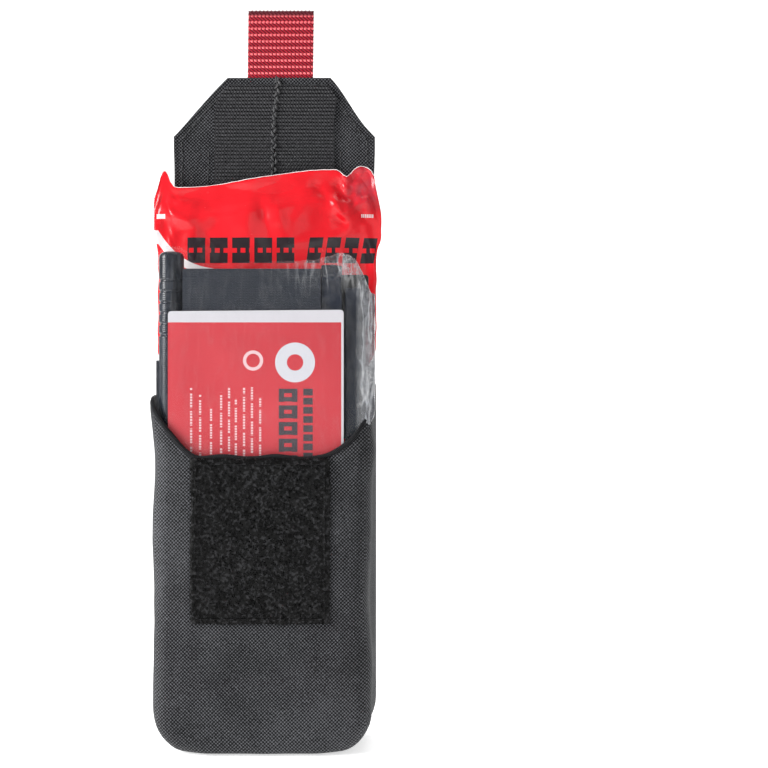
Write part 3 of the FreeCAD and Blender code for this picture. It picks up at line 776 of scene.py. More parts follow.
# %% [markdown]
# Thread rows hold the flap together: two along its edge and a box with a centre line round the hook tape. A
# stitch is a short stretch of thread that dives into the cloth at both ends, so one small long bead is
# made, and copies of it follow each line at an even step, a little unevenly, on both faces of the flap.

# %% Stitch rows
STITCH_STEP = 3.1
STITCH_LONG = 2.35


def stitch_spots(path, y):
    """Places for stitches along a path of (x, z) corners at one depth."""
    spots = []
    for (xa, za), (xb, zb) in zip(path, path[1:]):
        run = math.hypot(xb - xa, zb - za)
        count = max(1, round(run / STITCH_STEP))
        tilt = Vector((xb - xa, 0, zb - za)).to_track_quat("Z", "Y").to_matrix().to_4x4()
        for number in range(count):
            part = (number + 0.5) / count
            slip = random.uniform(-0.12, 0.12)
            spot = tilt.copy()
            spot.translation = Vector((xa + (xb - xa) * part + slip, y, za + (zb - za) * part + slip)) * MM
            spots.append(spot)
    return spots


def stitches(name, rows, rule=None, thick=0.27):
    start_clean()
    bpy.ops.mesh.primitive_uv_sphere_add(segments=6, ring_count=5, radius=1,
                                         scale=(thick * MM, thick * MM, STITCH_LONG / 2 * MM))
    bead = keep_new("stitch_bead")
    piece = scatter(bead, name, [spot for path, y in rows for spot in stitch_spots(path, y)])
    if rule:
        push(piece, rule)
    metre_map(piece)
    smooth(piece, 80)
    return piece


def flap_outline(inset, bottom):
    """The flap's own outline, a given way in from its edge, open at the bottom."""
    side = FLAP_HALF - inset
    top = FLAP_END - inset
    slip = inset * 0.42
    shoulder = FLAP_END - FLAP_CUT_ALONG - slip
    top_half = FLAP_HALF - FLAP_CUT_ACROSS - slip
    return [(-side, bottom), (-side, shoulder), (-top_half, top),
            (top_half, top), (side, shoulder), (side, bottom)]


def lean_only(x, y, z):
    """Carry what is sewn to the flap along with its cloth."""
    x *= flap_wide(z)
    return x + flap_lean(z), y + flap_wave(x, z), z


tape_low, tape_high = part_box("hook_tape_left")[0] / MM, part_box("hook_tape_right")[1] / MM
TAPE_INSET = 0.8
TAPE_CORNER = 238.0
TAPE_TOP_HALF = 17.0
left, right = tape_low.x + TAPE_INSET, tape_high.x - TAPE_INSET
low, high = tape_low.z + TAPE_INSET, tape_high.z - TAPE_INSET
tape_box = [(left, low), (left, TAPE_CORNER), (-TAPE_TOP_HALF, high), (TAPE_TOP_HALF, high),
            (right, TAPE_CORNER), (right, low), (left, low)]
centre_line = [(0, tape_low.z), (0, tape_high.z)]
start_z = FRONT_CREASE + 7
inner_outline = flap_outline(13.0, start_z)
edge_paths = [flap_outline(3.0, start_z), inner_outline[:2], inner_outline[4:]]
THREAD_OUTER = 16.82
THREAD_INNER = FLAP_FRONT
outer_rows = [(path, THREAD_OUTER) for path in edge_paths + [tape_box, centre_line]]
outer_thread = stitches("flap_stitches_outer", outer_rows, lean_only)
inner_rows = [(path, THREAD_INNER) for path in edge_paths]
inner_thread = stitches("flap_stitches_inner", inner_rows, lean_only, 0.24)


def thread_finish(name, dark, light):
    thread = Finish(name, "thread")
    along = thread.parts(thread.spot())
    twist = ((along[0] + along[2] + along[1]) * 9000.0).sine()
    fuzz = thread.noise(1500.0, 2.0)
    colour = thread.tint(twist * 0.25 + fuzz, 0.2, 0.9, shade(*dark), shade(*light))
    thread.set(Base_Color=colour, Roughness=fuzz * 0.2 + 0.4)
    return thread.set(Normal=thread.bump(twist, 0.06 * MM))


pale_thread = thread_finish("pale_thread", (0.10, 0.10, 0.105), (0.26, 0.26, 0.27))
dark_thread = thread_finish("dark_thread", (0.012, 0.012, 0.013), (0.07, 0.07, 0.075))
pale_thread.onto(outer_thread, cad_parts["belt_anchor_stitching"])
dark_thread.onto(inner_thread)
pile.onto(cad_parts["loop_patch_stitching"])
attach(outer_thread, "flap_front")
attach(inner_thread, "flap_front")
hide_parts("flap_edge_stitching", "hook_tape_stitching")
BEAD_FACES = 30
stitch_faces = len(outer_thread.data.polygons) + len(inner_thread.data.polygons)
print("stitches on the flap:", stitch_faces // BEAD_FACES)


# %% [markdown]
# The hook tape is two strips side by side, woven with rows of small stiff hooks. Each row is a low ridge,
# so the strips are sheets cut into fine rows and pushed out where a row runs; the separate hooks are left
# to the bump of the finish. A dark zigzag of thread closes the gap down the middle.

# %% Hook strips and the seam between them
HOOK_ROW = 1.40
CUT_POINT = (22.85, 247.3)
CUT_FACING = (0.745, 0.667)


def hook_strip(name, left, right):
    strip = start_sheet(name, (left, right), (tape_low.z, tape_high.z), tape_low.y + 0.2, (1.4, HOOK_ROW / 4))
    side = 1 if left > 0 else -1
    corner = (side * CUT_POINT[0] * MM, 0, CUT_POINT[1] * MM)
    facing = (side * CUT_FACING[0], 0, CUT_FACING[1])
    bpy.ops.object.mode_set(mode="EDIT")
    bpy.ops.mesh.select_all(action="SELECT")
    bpy.ops.mesh.bisect(plane_co=corner, plane_no=facing, clear_outer=True)
    bpy.ops.object.mode_set(mode="OBJECT")
    metre_map(strip)
    finish_with(strip, "SOLIDIFY", thickness=0.8 * MM, offset=-1.0)

    def rows(x, y, z):
        ridge = math.sin((z - tape_low.z) / HOOK_ROW * 2 * math.pi) if y < tape_low.y + 0.5 else 0
        x, y, z = lean_only(x, y, z)
        return x + 0.15 * ripple(x, z, 3.0, 7.7), y - 0.20 * ridge - 0.15 * ripple(x, z, 9.0, 1.3), z

    push(strip, rows)
    smooth(strip, 60)
    return strip


SEAM_HALF = 0.25
strips = [hook_strip("hook_strip_left", tape_low.x, -SEAM_HALF),
          hook_strip("hook_strip_right", SEAM_HALF, tape_high.x)]
SEAM_THREAD = 13.8
seam_rows = [([(0.5, tape_low.z), (0.5, tape_high.z + 2)], SEAM_THREAD),
             ([(-0.4, tape_low.z + 1.2), (-0.4, tape_high.z + 1)], SEAM_THREAD - 0.1)]


def twist_seam(x, y, z):
    x, y, z = lean_only(x, y, z)
    return x + 0.375 * math.sin(z * 1.9), y + 0.25 * math.sin(z * 0.9), z


tape_seam = stitches("tape_seam_thread", seam_rows, twist_seam, 0.62)
hook = Finish("hook_tape", "hook_tape")
u, v = hook.place()
row = (v * (2 * math.pi / (HOOK_ROW * MM))).sine()
dots = ((u + (v * 740.0).sine() * 0.0002) * (2 * math.pi / (1.15 * MM))).sine()
fleck = hook.noise(1300.0, 2.0)
hooks = row * 0.5 * (dots * 0.35 + 0.65) + (fleck - 0.5) * 1.1
hook.set(Base_Color=hook.tint(hooks, -0.4, 0.75, shade(0.001, 0.001, 0.0015), shade(0.070, 0.070, 0.075)))
hook.set(Roughness=0.48, Normal=hook.bump(dots * row + fleck, 0.22 * MM), Specular_IOR_Level=0.14)
hook.onto(*strips)
dark_thread.onto(tape_seam)
for piece in strips + [tape_seam]:
    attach(piece, "flap_front")
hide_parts("hook_tape_left")
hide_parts("hook_tape_right")
print("hook rows:", round((tape_high.z - tape_low.z) / HOOK_ROW))


# %% [markdown]
# The pull tab is one length of red webbing folded over and sewn into the end of the flap. Webbing of this
# kind shows rows of short bright picks with slanting ground between them. It is made flat, as a long strip
# with every pick pushed up, and then wrapped round the fold. The picks are laid in the flat strip's own
# map, so they stay in line.

# %% Pull tab: flat strip with its picks, then folded
tab_low, tab_high = (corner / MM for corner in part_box("pull_tab"))
TAB_SHIFT = 3.4
PICK_ROW = 2.48
PICK_STEP = 1.48
GROUND_ROW = 1.21
TAB_SKEW = 0.012
TAB_DEPTH = tab_high.y - tab_low.y
FOLD = TAB_DEPTH / 2 - 0.5
TAB_DOWN = 3.5
side_run = tab_high.z - FOLD - 0.5 - (tab_low.z - TAB_DOWN)
whole_run = 2 * side_run + math.pi * FOLD


def pick_height(x, run):
    """How high the web's surface stands at a place on the flat strip, from 0 to 1."""
    row = run / PICK_ROW
    nearest = abs(row - round(row)) * PICK_ROW
    step = (x + 0.25 * (row - round(row))) / PICK_STEP
    side = abs(step - round(step)) * PICK_STEP
    pick = max(0, 1 - (nearest / 0.55) ** 2) * max(0, 1 - (side / 0.62) ** 2)
    ground = 0.30 + 0.16 * math.sin(2 * math.pi * (x / PICK_STEP + run / GROUND_ROW))
    return max(pick, ground * (1 if nearest > 0.3 else 0.5))


tab = start_sheet("pull_tab_web", (tab_low.x, tab_high.x), (0, whole_run), 0, (0.26, 0.30))
metre_map(tab)


def fold_tab(x, y, run):
    high = pick_height(x - tab_low.x, run) * 0.34
    thin = 0.20 * ramp(abs(x - (tab_low.x + tab_high.x) / 2), 12.0, 12.7)
    out = high - 0.25 - thin
    middle = (tab_low.y + tab_high.y) / 2
    foot = tab_low.z - TAB_DOWN
    if run < side_run:
        place = (middle - FOLD - out, foot + run)
    elif run < side_run + math.pi * FOLD:
        turn = (run - side_run) / FOLD
        place = (middle - (FOLD + out) * math.cos(turn), foot + side_run + (FOLD + out) * math.sin(turn))
    else:
        place = (middle + FOLD + out, foot + side_run - (run - side_run - math.pi * FOLD))
    skew = TAB_SKEW * (place[1] - tab_low.z)
    edge = ramp(abs(x - 1.2), 12.2, 12.7) * (1 if x > 0 else -1)
    scallop = 0.10 * math.sin(run * 2 * math.pi / PICK_ROW) * edge
    return x + TAB_SHIFT + skew + scallop, place[0], place[1]


push(tab, fold_tab)
finish_with(tab, "SOLIDIFY", thickness=0.62 * MM, offset=-1.0)
smooth(tab, 60)
web = Finish("red_webbing", "red_webbing")
u, v = web.place()
u0 = u - tab_low.x * MM
row = v * (1 / (PICK_ROW * MM))
near = row.from_nearest().size() * PICK_ROW
step = (u0 * (1 / MM) + row.from_nearest() * 0.25) / PICK_STEP
side = step.from_nearest().size() * PICK_STEP
picks = (1 - (near / 0.50) ** 2).kept() * (1 - (side / 0.60) ** 2).kept()
hatch = ((u0 * (1 / (PICK_STEP * MM)) + v * (1 / (GROUND_ROW * MM))) * (2 * math.pi)).sine()
fibre = web.noise(2400.0, 2.0)
ground = web.tint(hatch * 0.5 + fibre, 0.1, 1.25, shade(0.09, 0.001, 0.006), shade(0.46, 0.004, 0.022))
bright = web.mix((picks * 2.2).kept(), ground, shade(0.88, 0.15, 0.17))
# Painted shade: the top of the fold, which faces up, is painted dark maroon.
fold_top_shade = (1 - ((v - (side_run + math.pi * FOLD / 2) * MM).size() * (1 / (2.9 * MM))) ** 6).kept()
web.set(Base_Color=web.mix(fold_top_shade * 0.88, bright, shade(0.060, 0.004, 0.009)), Roughness=0.46)
web.set(Normal=web.bump(hatch + fibre * 1.2, 0.09 * MM), Sheen_Weight=0.05, Specular_IOR_Level=0.18)
web.onto(tab)
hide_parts("pull_tab")
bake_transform(tab)
print("tab strip run:", round(whole_run, 1), "mm, rows:", round(side_run / PICK_ROW))

# %% Bar tack at the foot of the tab
TACK_ASIDE = 3.0
tack_rows = [([(0.2, 250.0), (0.2, 256.4)], 14.4), ([(0.9, 252.5), (0.9, 256.0)], 14.3),
             ([(-0.7, 253.4), (1.4, 253.8)], 14.2)]
tack = stitches("tab_tack", tack_rows, lambda x, y, z: (x + TACK_ASIDE, y, z), 0.50)
dark_thread.onto(tack)
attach(tack, "flap_front")
print("bar tack made")


# %% [markdown]
# The gauze is sealed in a foil packet. Foil holds every crease it ever had: long soft ones fan out from the
# corner that was gripped, and the top right corner is crushed. The packet is a thin box cut into small
# squares; its outline follows ragged edges, its middle is filled out, and each crease is a line that lifts
# or sinks the foil beside it.

# %% Foil packet: outline and creases
foil_low, foil_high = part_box("packet_foil_front")[0] / MM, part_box("packet_foil_back")[1] / MM
SEAM_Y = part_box("packet_foil_back")[0].y / MM
PACKET_TALL = 215
PACKET_WIDE = 80
SLOT_FRONT = 5.95
SLOT_BACK = 12.9


def packet_left(z):
    return -35.9 - 6.3 * ramp(z, 134, 150) - 1.7 * ramp(z, 186, 206) + 0.5 * ripple(0, z, 7.0, 3.0)


def packet_right(z):
    wide = 35.9 + 6.2 * ramp(z, 134, 150) + 1.9 * ramp(z, 184, 196) - 2.6 * ramp(z, 203, 216)
    return wide + 0.5 * ripple(0, z, 6.0, 8.0)


def packet_top(x):
    rise = 211.6 + 7.0 * ramp(x, -36, 24)
    ear = 7.4 * hump(x, -39.6, 2.3) - 4.5 * (1 - ramp(x, -44, -41))
    notch = 2.9 * hump(x, 30.4, 2.1) - 1.3 * hump(x, 36.4, 2.8) + 6.0 * ramp(x, 39, 44)
    return rise + ear - notch + 0.25 * ripple(x, 0, 5.0, 1.0)


CREASES = [  # from x, z, to x, z, lift, width
    (-43, 207, -12, 210.5, -1.3, 2.2), (-12, 210.5, 16, 211.5, -0.8, 1.8), (-41, 204, -26, 196, 1.2, 2.4),
    (-26, 196, -18, 187, -0.6, 2.6), (-40, 208, -24, 204, 0.9, 1.5), (-2.5, 206, 1, 193, -0.9, 2.2),
    (4, 205, 6.5, 194, 0.6, 2.4), (18, 213, 27, 203, -0.8, 1.7), (24, 208, 34, 194, 1.4, 2.0),
    (28, 211, 37, 200, -1.3, 1.5), (31, 216, 30, 204, 1.2, 1.0), (33, 204, 43, 210, 1.2, 1.2),
    (26, 200, 33, 196, -1.2, 1.6), (37, 214, 34, 206, -0.9, 0.9), (-36, 195, -40, 178, 0.9, 1.8),
    (10, 190, 36, 194, 0.7, 2.0), (-20, 178, 12, 176, -0.6, 2.5), (38, 196, 42, 176, 0.7, 1.4),
    (-30, 202, -8, 201, 0.5, 3.0)]


def crease_lift(x, z):
    total = 0.0
    for xa, za, xb, zb, lift, width in CREASES:
        run = (xb - xa) ** 2 + (zb - za) ** 2
        part = min(1, max(0, ((x - xa) * (xb - xa) + (z - za) * (zb - za)) / run))
        away = math.hypot(x - xa - part * (xb - xa), z - za - part * (zb - za))
        total += lift * math.exp(-away / width) * (0.35 + 0.65 * math.sin(math.pi * min(0.98, part + 0.1)))
    return total


packet = start_box("foil_packet", (foil_low.x, SEAM_Y - 0.4, foil_low.z),
                   (foil_high.x, SEAM_Y + 0.4, foil_high.z))
slice_across(packet, 0, steps(foil_low.x, foil_high.x, 1.25))
slice_across(packet, 2, steps(foil_low.z, foil_high.z, 1.45))
pick(packet, lambda a, b: min(a.z, b.z) > foil_high.z - 0.01 and max(a.y, b.y) < SEAM_Y - 0.3, "edges")


def shape_packet(x, y, z):
    front = -1 if y < SEAM_Y else 1
    up = (z - foil_low.z) / (foil_high.z - foil_low.z)
    across = (x - foil_low.x) / (foil_high.x - foil_low.x)
    guess_z = foil_low.z + up * (PACKET_TALL - foil_low.z)
    new_x = packet_left(guess_z) + across * (packet_right(guess_z) - packet_left(guess_z))
    new_z = foil_low.z + up * (packet_top(new_x) - foil_low.z)
    rim = min(across, 1 - across) * PACKET_WIDE
    below_top = packet_top(new_x) - new_z
    fill = ramp(rim, 3, 15) * ramp(new_z, foil_low.z + 3, foil_low.z + 14) * (1 - ramp(below_top, 13, 5))
    belly_out = 2.3 * fill * ramp(below_top, 5, 13)
    corner = ramp(new_x, 22, 32) * ramp(new_z, 196, 206)
    crush = (1.1 * ripple(new_x, new_z, 3.4, 4.0) + 0.7 * ripple(new_x, new_z, 1.9, 8.0)) * corner
    soft = 0.45 * ripple(new_x, new_z, 13.0, 2.0) + 0.18 * ripple(new_x, new_z, 5.0, 6.0)
    shift = (crease_lift(new_x, new_z) + crush) * 0.85 * ramp(new_z, 150, 172) + soft
    new_y = SEAM_Y + 0.6 + front * (0.25 + belly_out) - shift * (2.0 if front < 0 else 0.4)
    new_y = min(max(new_y, SLOT_FRONT), SLOT_BACK - 3.3 * fill if front < 0 else SLOT_BACK)
    if front > 0:
        new_y = max(new_y, (SLOT_BACK - 0.4) * fill)
    return new_x, new_y, new_z


push(packet, shape_packet)
start_clean()
cut_edge = roll_from_edges(packet, "foil_cut_edge", 0.12)
finish_with(packet, "SUBSURF", levels=1, render_levels=1)
smooth(packet, 75)
metre_map(packet)
metre_map(cut_edge)
print("foil packet:", len(packet.data.polygons), "squares")


# %% Foil finish with plain printed blocks
def block(u, v, left, right, low, high):
    """1 inside a rectangle given in millimetres, 0 outside."""
    return u.over(left * MM) * u.under(right * MM) * v.over(low * MM) * v.under(high * MM)


foil = Finish("red_foil", "red_foil")
u, v = foil.place()
slow = foil.noise(30.0, 3.0)
fine = foil.noise(260.0, 2.0)
red = foil.tint(slow, 0.35, 0.68, shade(0.54, 0.002, 0.008), shade(0.82, 0.010, 0.020))
WORD_ROW = (182.4, 192.2)
first = ((u + 30.4 * MM) / (8.55 * MM)).past_whole().under(0.80) * block(u, v, -30.4, 12.2, *WORD_ROW)
lean = u - (v - 187 * MM) * 0.16
second = ((lean - 15.8 * MM) / (6.9 * MM)).past_whole().under(0.76) * block(lean, v, 15.8, 42.6, *WORD_ROW)
slot_cut = block(u, v, -40, 44, 186.4, 188.2) * (u * 1900.0).sine().over(-0.2)
words = ((first + second) * (1 - slot_cut)).kept()
marks = block(u, v, 36.2, 41.0, 200.0, 201.3) * (u * 9000.0).sine().over(-0.3)
marks = marks + block(u, v, -42.6, -39.2, 199.6, 201.4)
fade = ((u + 42 * MM) / (26 * MM)).kept()
swoosh = 179.6 * MM + (1 - fade) ** 3 * (13.0 * MM)
arc = (v - swoosh).size().under((1 - fade) * (2.3 * MM) + 0.3 * MM) * block(u, v, -44.0, 12.0, 176.0, 198.0)
printed = foil.mix(words, red, shade(0.018, 0.010, 0.014))
printed = foil.mix((marks + arc).kept(), printed, shade(0.62, 0.58, 0.59))
# Painted shade: the crushed top right corner is painted darker red in small patches, for the shade in its
# crumples.
crushed = ((u - 27 * MM) / (8 * MM)).kept() * ((v - 201 * MM) / (8 * MM)).kept()
printed = foil.mix(crushed * foil.noise(420.0, 2.0), printed, shade(0.30, 0.03, 0.05))
foil.set(Base_Color=printed, Roughness=fine * 0.10 + 0.20, Coat_Weight=0.10, Coat_Roughness=0.08)
foil.set(Normal=foil.bump(slow * 0.6 + fine * 0.12, 0.9 * MM, 0.55), Specular_IOR_Level=0.3)
foil.onto(packet)
foil_edge = Finish("foil_cut_edge", "red_foil")
edge_colour = foil_edge.tint(foil_edge.noise(300.0), 0.3, 0.7, shade(0.75, 0.55, 0.56), shade(0.92))
foil_edge.set(Base_Color=edge_colour, Roughness=0.25)
foil_edge.onto(cut_edge)
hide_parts("packet_foil_front", "packet_foil_back")

# %% Folded gauze inside the packet
gauze_low, gauze_high = (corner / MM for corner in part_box("folded_gauze"))
plies = []
PLY = 0.75
PLY_COUNT = 3
PAD_FRONT = 10.0
PAD_TOP = 192.0


def loose_ply(number):
    """Each ply lies a little differently, by its number."""
    def rule(x, y, z):
        return (x + 0.4 * ripple(y, z, 9.0, number), y + 0.10 * ripple(x, z, 6.0, number),
                z + 0.5 * ripple(x, y, 8.0, number))
    return rule


for number in range(PLY_COUNT):
    depth = PAD_FRONT + number * (PLY + 0.1)
    ply = start_box("gauze_ply", (gauze_low.x + 1, depth, gauze_low.z + 2),
                    (gauze_high.x - 1, depth + PLY, PAD_TOP))
    slice_across(ply, 2, steps(gauze_low.z, PAD_TOP, 3.0))
    slice_across(ply, 0, steps(gauze_low.x, gauze_high.x, 3.0))
    push(ply, loose_ply(number))
    plies.append(ply)
gauze_pad = join("gauze_pad", plies)
soften(gauze_pad, 0.3, 60)
smooth(gauze_pad, 60)
metre_map(gauze_pad)
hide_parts("folded_gauze")
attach(gauze_pad, "gauze_packet")
for piece in (packet, cut_edge):
    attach(piece, "gauze_packet")
    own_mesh(piece)
print("foil printed with plain blocks")


# %% [markdown]
# The tourniquet lies folded behind a printed card. The band, rod, plate, clip and buckle keep their working
# shapes and only need their finishes. Two strips of slack band stand beside the folded stack. The card is a
# thin sheet with a slight curl, and its print is plain: a disc, a small ring, and bars where words would
# be.

# %% Slack band strips
def band_strip(name, left, right, front, low, high, seed, rough):
    strip = start_box(name, (left, front, low), (right, front + 2.2, high))
    slice_across(strip, 0, steps(left, right, 0.9))
    slice_across(strip, 2, steps(low, high, 1.2))

    def rumple(x, y, z):
        middle = (left + right) / 2
        side = 1 if x > middle else -1
        edge = rough * 0.6 * ripple(0, z, 7.0, seed) * ramp(abs(x - middle), 1, (right - left) / 2)
        face = rough * ripple(x, z, 3.4, seed) + rough * 0.7 * ripple(x * 1.8, z, 1.9, seed + 2)
        top = 1.2 * ripple(x, 0, 4.0, seed) * ramp(z, high - 4, high)
        return x + side * edge, y - face * (1 if y < front + 1 else 0.3), z + top

    push(strip, rumple)
    soften(strip, 0.3, 60)
    smooth(strip, 70)
    metre_map(strip)
    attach(strip, "tourniquet_pack")
    return strip


pack_low, pack_high = (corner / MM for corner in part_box("film_wrap"))
band_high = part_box("main_band")[1] / MM
tail_foot = pack_low.z + 14
tail_wide = band_strip("band_tail", band_high.x + 0.2, 29.4, -12.6, tail_foot, band_high.z + 1.0, 3.3, 0.55)
tail_edge = band_strip("band_edge", 30.6, 36.0, -11.4, tail_foot, band_high.z - 7.0, 5.1, 0.30)

# %% Label card
card_low, card_high = (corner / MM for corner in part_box("label_card"))
CARD_TOP = card_high.z + 0.2
CARD_RIGHT = 30.2
card = start_box("printed_card", (card_low.x - 0.2, card_low.y + 0.02, card_low.z),
                 (CARD_RIGHT, card_high.y - 0.02, CARD_TOP))
pick(card, lambda a, b: abs(a.y - b.y) > 0.1 and abs(a.x - b.x) < 0.1 and abs(a.z - b.z) < 0.1, "edges")
round_edges(card, 1.2, 4)
slice_across(card, 0, steps(card_low.x, CARD_RIGHT, 3.0))
slice_across(card, 2, steps(card_low.z, CARD_TOP, 3.0))


def curl_card(x, y, z):
    return x, y + 0.06 * ripple(x, z, 22.0, 6.6) * ramp(z, 80, 110), z + 0.008 * (x + 34) * ramp(z, 150, 162)


push(card, curl_card)
smooth(card, 40)
metre_map(card)
print("card top at", round(CARD_TOP, 1))

# %% Card finish with plain printed shapes
ink = Finish("printed_card", "label_card")
u, v = ink.place()
paper = ink.noise(700.0, 2.0)
slow = ink.noise(28.0, 2.0)
red = ink.tint(slow, 0.3, 0.7, shade(0.41, 0.026, 0.036), shade(0.50, 0.042, 0.054))
white_top = v.over(158.6 * MM) + u.over(29.35 * MM)
from_disc = (u - 12.4 * MM) ** 2 + (v - 143.9 * MM) ** 2
disc = from_disc.under((7.3 * MM) ** 2)
dot = from_disc.under((3.0 * MM) ** 2)
from_ring = (u + 3.0 * MM) ** 2 + (v - 144.6 * MM) ** 2
pale_print = from_ring.under((3.7 * MM) ** 2) * from_ring.over((2.5 * MM) ** 2)
PRINT_LOW = 90.0
BOLD_TOP = 134.3
COLUMNS = [  # middle and top of each column of bars
    (-25.7, 134.6), (-22.4, 132.0), (-18.4, 127.0), (-14.7, 133.2), (-11.8, 134.8), (-9.3, 130.5),
    (-6.3, 134.8), (-3.4, 134.8), (-0.4, 131.0)]
for number, (middle, top) in enumerate(COLUMNS):
    letters = (v * (6100.0 + 300.0 * (number % 3)) + float(number)).sine().over(-0.62)
    letters = letters * (v * 980.0 + number * 2.3).sine().over(-0.86)
    pale_print = pale_print + block(u, v, middle - 0.40, middle + 0.40, PRINT_LOW, top) * letters
below = v - BOLD_TOP * MM
bold = (below / (6.1 * MM)).past_whole().over(0.20) * block(u, v, 6.4, 13.3, PRINT_LOW, BOLD_TOP)
bold = bold * (1 - block(u, v, 8.4, 11.2, PRINT_LOW, BOLD_TOP) * (v * 2060.0).sine().over(0.1))
slim = (below / (3.35 * MM)).past_whole().over(0.25) * block(u, v, 15.4, 18.9, PRINT_LOW, BOLD_TOP)
face = ink.mix(pale_print.kept() * 0.85, red, shade(0.66, 0.50, 0.52))
face = ink.mix((bold + slim).kept(), face, shade(0.050, 0.040, 0.048))
face = ink.mix((disc - dot).kept(), face, shade(0.50, 0.50, 0.54))
face = ink.mix(white_top.kept(), face, shade(0.49, 0.48, 0.51))
ink.set(Base_Color=face, Roughness=0.38, Normal=ink.bump(paper, 0.03 * MM), Specular_IOR_Level=0.3)
ink.onto(card)
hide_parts("label_card")
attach(card, "tourniquet_pack")
print("card printed with", len(COLUMNS), "columns of bars")


# %% [markdown]
# The film is what makes the pack look sealed: almost clear where it is tight, milky and full of bright
# glints where it bunches at the top and down the right side. Its shape is a soft bag, box-started, whose
# top sinks between the rod and the band. Its finish stays mostly see-through, and the share that shows
# grows with slow noise and with thin ridges, which are the places where a fine noise passes through its
# middle value.

# %% Film bag
FILM_TOP = 180.0
FILM_TIGHT = 0.036


def film_top(x):
    """The height of the film's top edge: high over the rod, lower over the band, falling at the right."""
    over_rod = pack_high.z - 0.2 + 0.8 * ripple(x, 0, 4.0, 2.0)
    over_band = 180.2 + 2.2 * hump(x, 29, 6) + 0.03 * (x + 28)
    side = 14.0 * ramp(x, 33, 43)
    return over_rod + (over_band - over_rod) * ramp(x, -30.5, -24.5) - side


film = start_box("film_bag", pack_low, (pack_high.x, pack_high.y, FILM_TOP))
pick(film, lambda a, b: abs(a.y - b.y) > 5 and abs(a.x - b.x) < 1, "edges")
round_edges(film, 5.5, 5)
pick(film, lambda a, b: max(a.y, b.y) < pack_low.y + 0.1, "edges")
round_edges(film, 3.2, 4)
slice_across(film, 0, steps(pack_low.x, pack_high.x, 1.5))
slice_across(film, 2, steps(pack_low.z, FILM_TOP, 1.7))
slice_across(film, 1, steps(pack_low.y, pack_high.y, 2.5))


def shape_film(x, y, z):
    free = ramp(z, 116, 126)
    x = x * (1 - FILM_TIGHT * (1 - free)) + 1.7 * ramp(x, 30, pack_high.x) * free
    z += (film_top(x) - FILM_TOP) * ramp(z, FILM_TOP - 12, FILM_TOP)
    front = 1 - ramp(y, pack_low.y, pack_low.y + 4)
    bunch = ramp(z, 163, 172) * (0.35 + 0.65 * ramp(x, 0, 30)) + 0.8 * ramp(x, 30, 37) * free
    wrinkle = 0.8 * ripple(x * 1.4, z, 4.0, 3.0) + 0.45 * ripple(x * 2.0, z, 2.1, 5.0)
    streak = 0.7 * ripple(x * 3.2, z * 0.35, 4.0, 7.0) * ramp(x, 28, 35) * free
    y += (wrinkle * bunch * 0.8 + streak) * front - 0.1 * front * bunch
    y += 1.6 * front * ramp(x, 33, 40) * free + 1.3 * front * (1 - ramp(x, -37, -30)) * free
    z += 0.9 * ripple(x, y, 3.0, 9.0) * ramp(z, FILM_TOP - 8, FILM_TOP)
    x += 0.5 * ripple(y, z, 5.0, 1.0) * ramp(abs(x), 36, 40) * free * (1 if x > 0 else 0.2)
    return x, max(y, pack_low.y), z


push(film, shape_film)
finish_with(film, "SUBSURF", levels=1, render_levels=1)
smooth(film, 80)
metre_map(film)
print("film squares:", len(film.data.polygons))

# %% Clear film finish
clear = Finish("clear_film", "clear_film")
x, y, z = clear.parts(clear.spot())
stretched = clear.together(x * 2.6, y, z * 0.55)
ridge_noise = clear.noise(95.0, 2.0, stretched)
ridges = (1 - ((ridge_noise - 0.5).size() * 22)).kept()
crumple = clear.noise(230.0, 3.0)
crinkle = (1 - ((crumple - 0.5).size() * 16)).kept()
bunched = ((z - 0.169) / 0.010).kept() * ((x * 36.0) - 0.10).kept()
right_side = ((x - 0.0345) / 0.003).kept() * ((z - 0.09) / 0.02).kept()
loose = (bunched + right_side).kept()
facing = clear.node("ShaderNodeLayerWeight", sockets={"Blend": 0.35}, out="Facing")
show = 0.020 + facing ** 3 * 0.08 + bunched * 0.06 + right_side * 0.55
show = show + ridges * (loose * 0.34 + 0.03) + crinkle * loose * 0.16
clear.set(Roughness=0.22, Alpha=show.kept(), Specular_IOR_Level=0.8)
clear.set(Normal=clear.bump((ridges * 0.5 + crumple) * (loose * 0.8 + 0.08), 0.5 * MM, 0.6))
milky = clear.tint(crumple, 0.3, 0.7, shade(0.34, 0.36, 0.39), shade(0.62))
# Painted shade and highlight: down the right side the film is painted grey in upright dark and light streaks
# for the shading of its folds, and lighter along its ridges.
streaks = clear.noise(60.0, 3.0, clear.together(x * 3.0, y, z * 0.4))
folded = clear.tint(streaks, 0.35, 0.65, shade(0.10, 0.105, 0.12), shade(0.34, 0.35, 0.37))
clear.set(Base_Color=clear.mix(right_side * (1 - ridges * 0.6), milky, folded))
clear.onto(film)
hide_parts("film_wrap")
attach(film, "tourniquet_pack")
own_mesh(film)
print("film finish ready, loose at the top right and down the right side")


# %% [markdown]
# The working parts keep their own meshes, which carry no map of their own, so their finishes read object
# places: fine webbing for the band, black anodised metal for the rod, grained nylon for the mouldings,
# brushed steel for the rivets, a pale writing strap, ribbed webbing for the belt strap and satin black
# snaps.

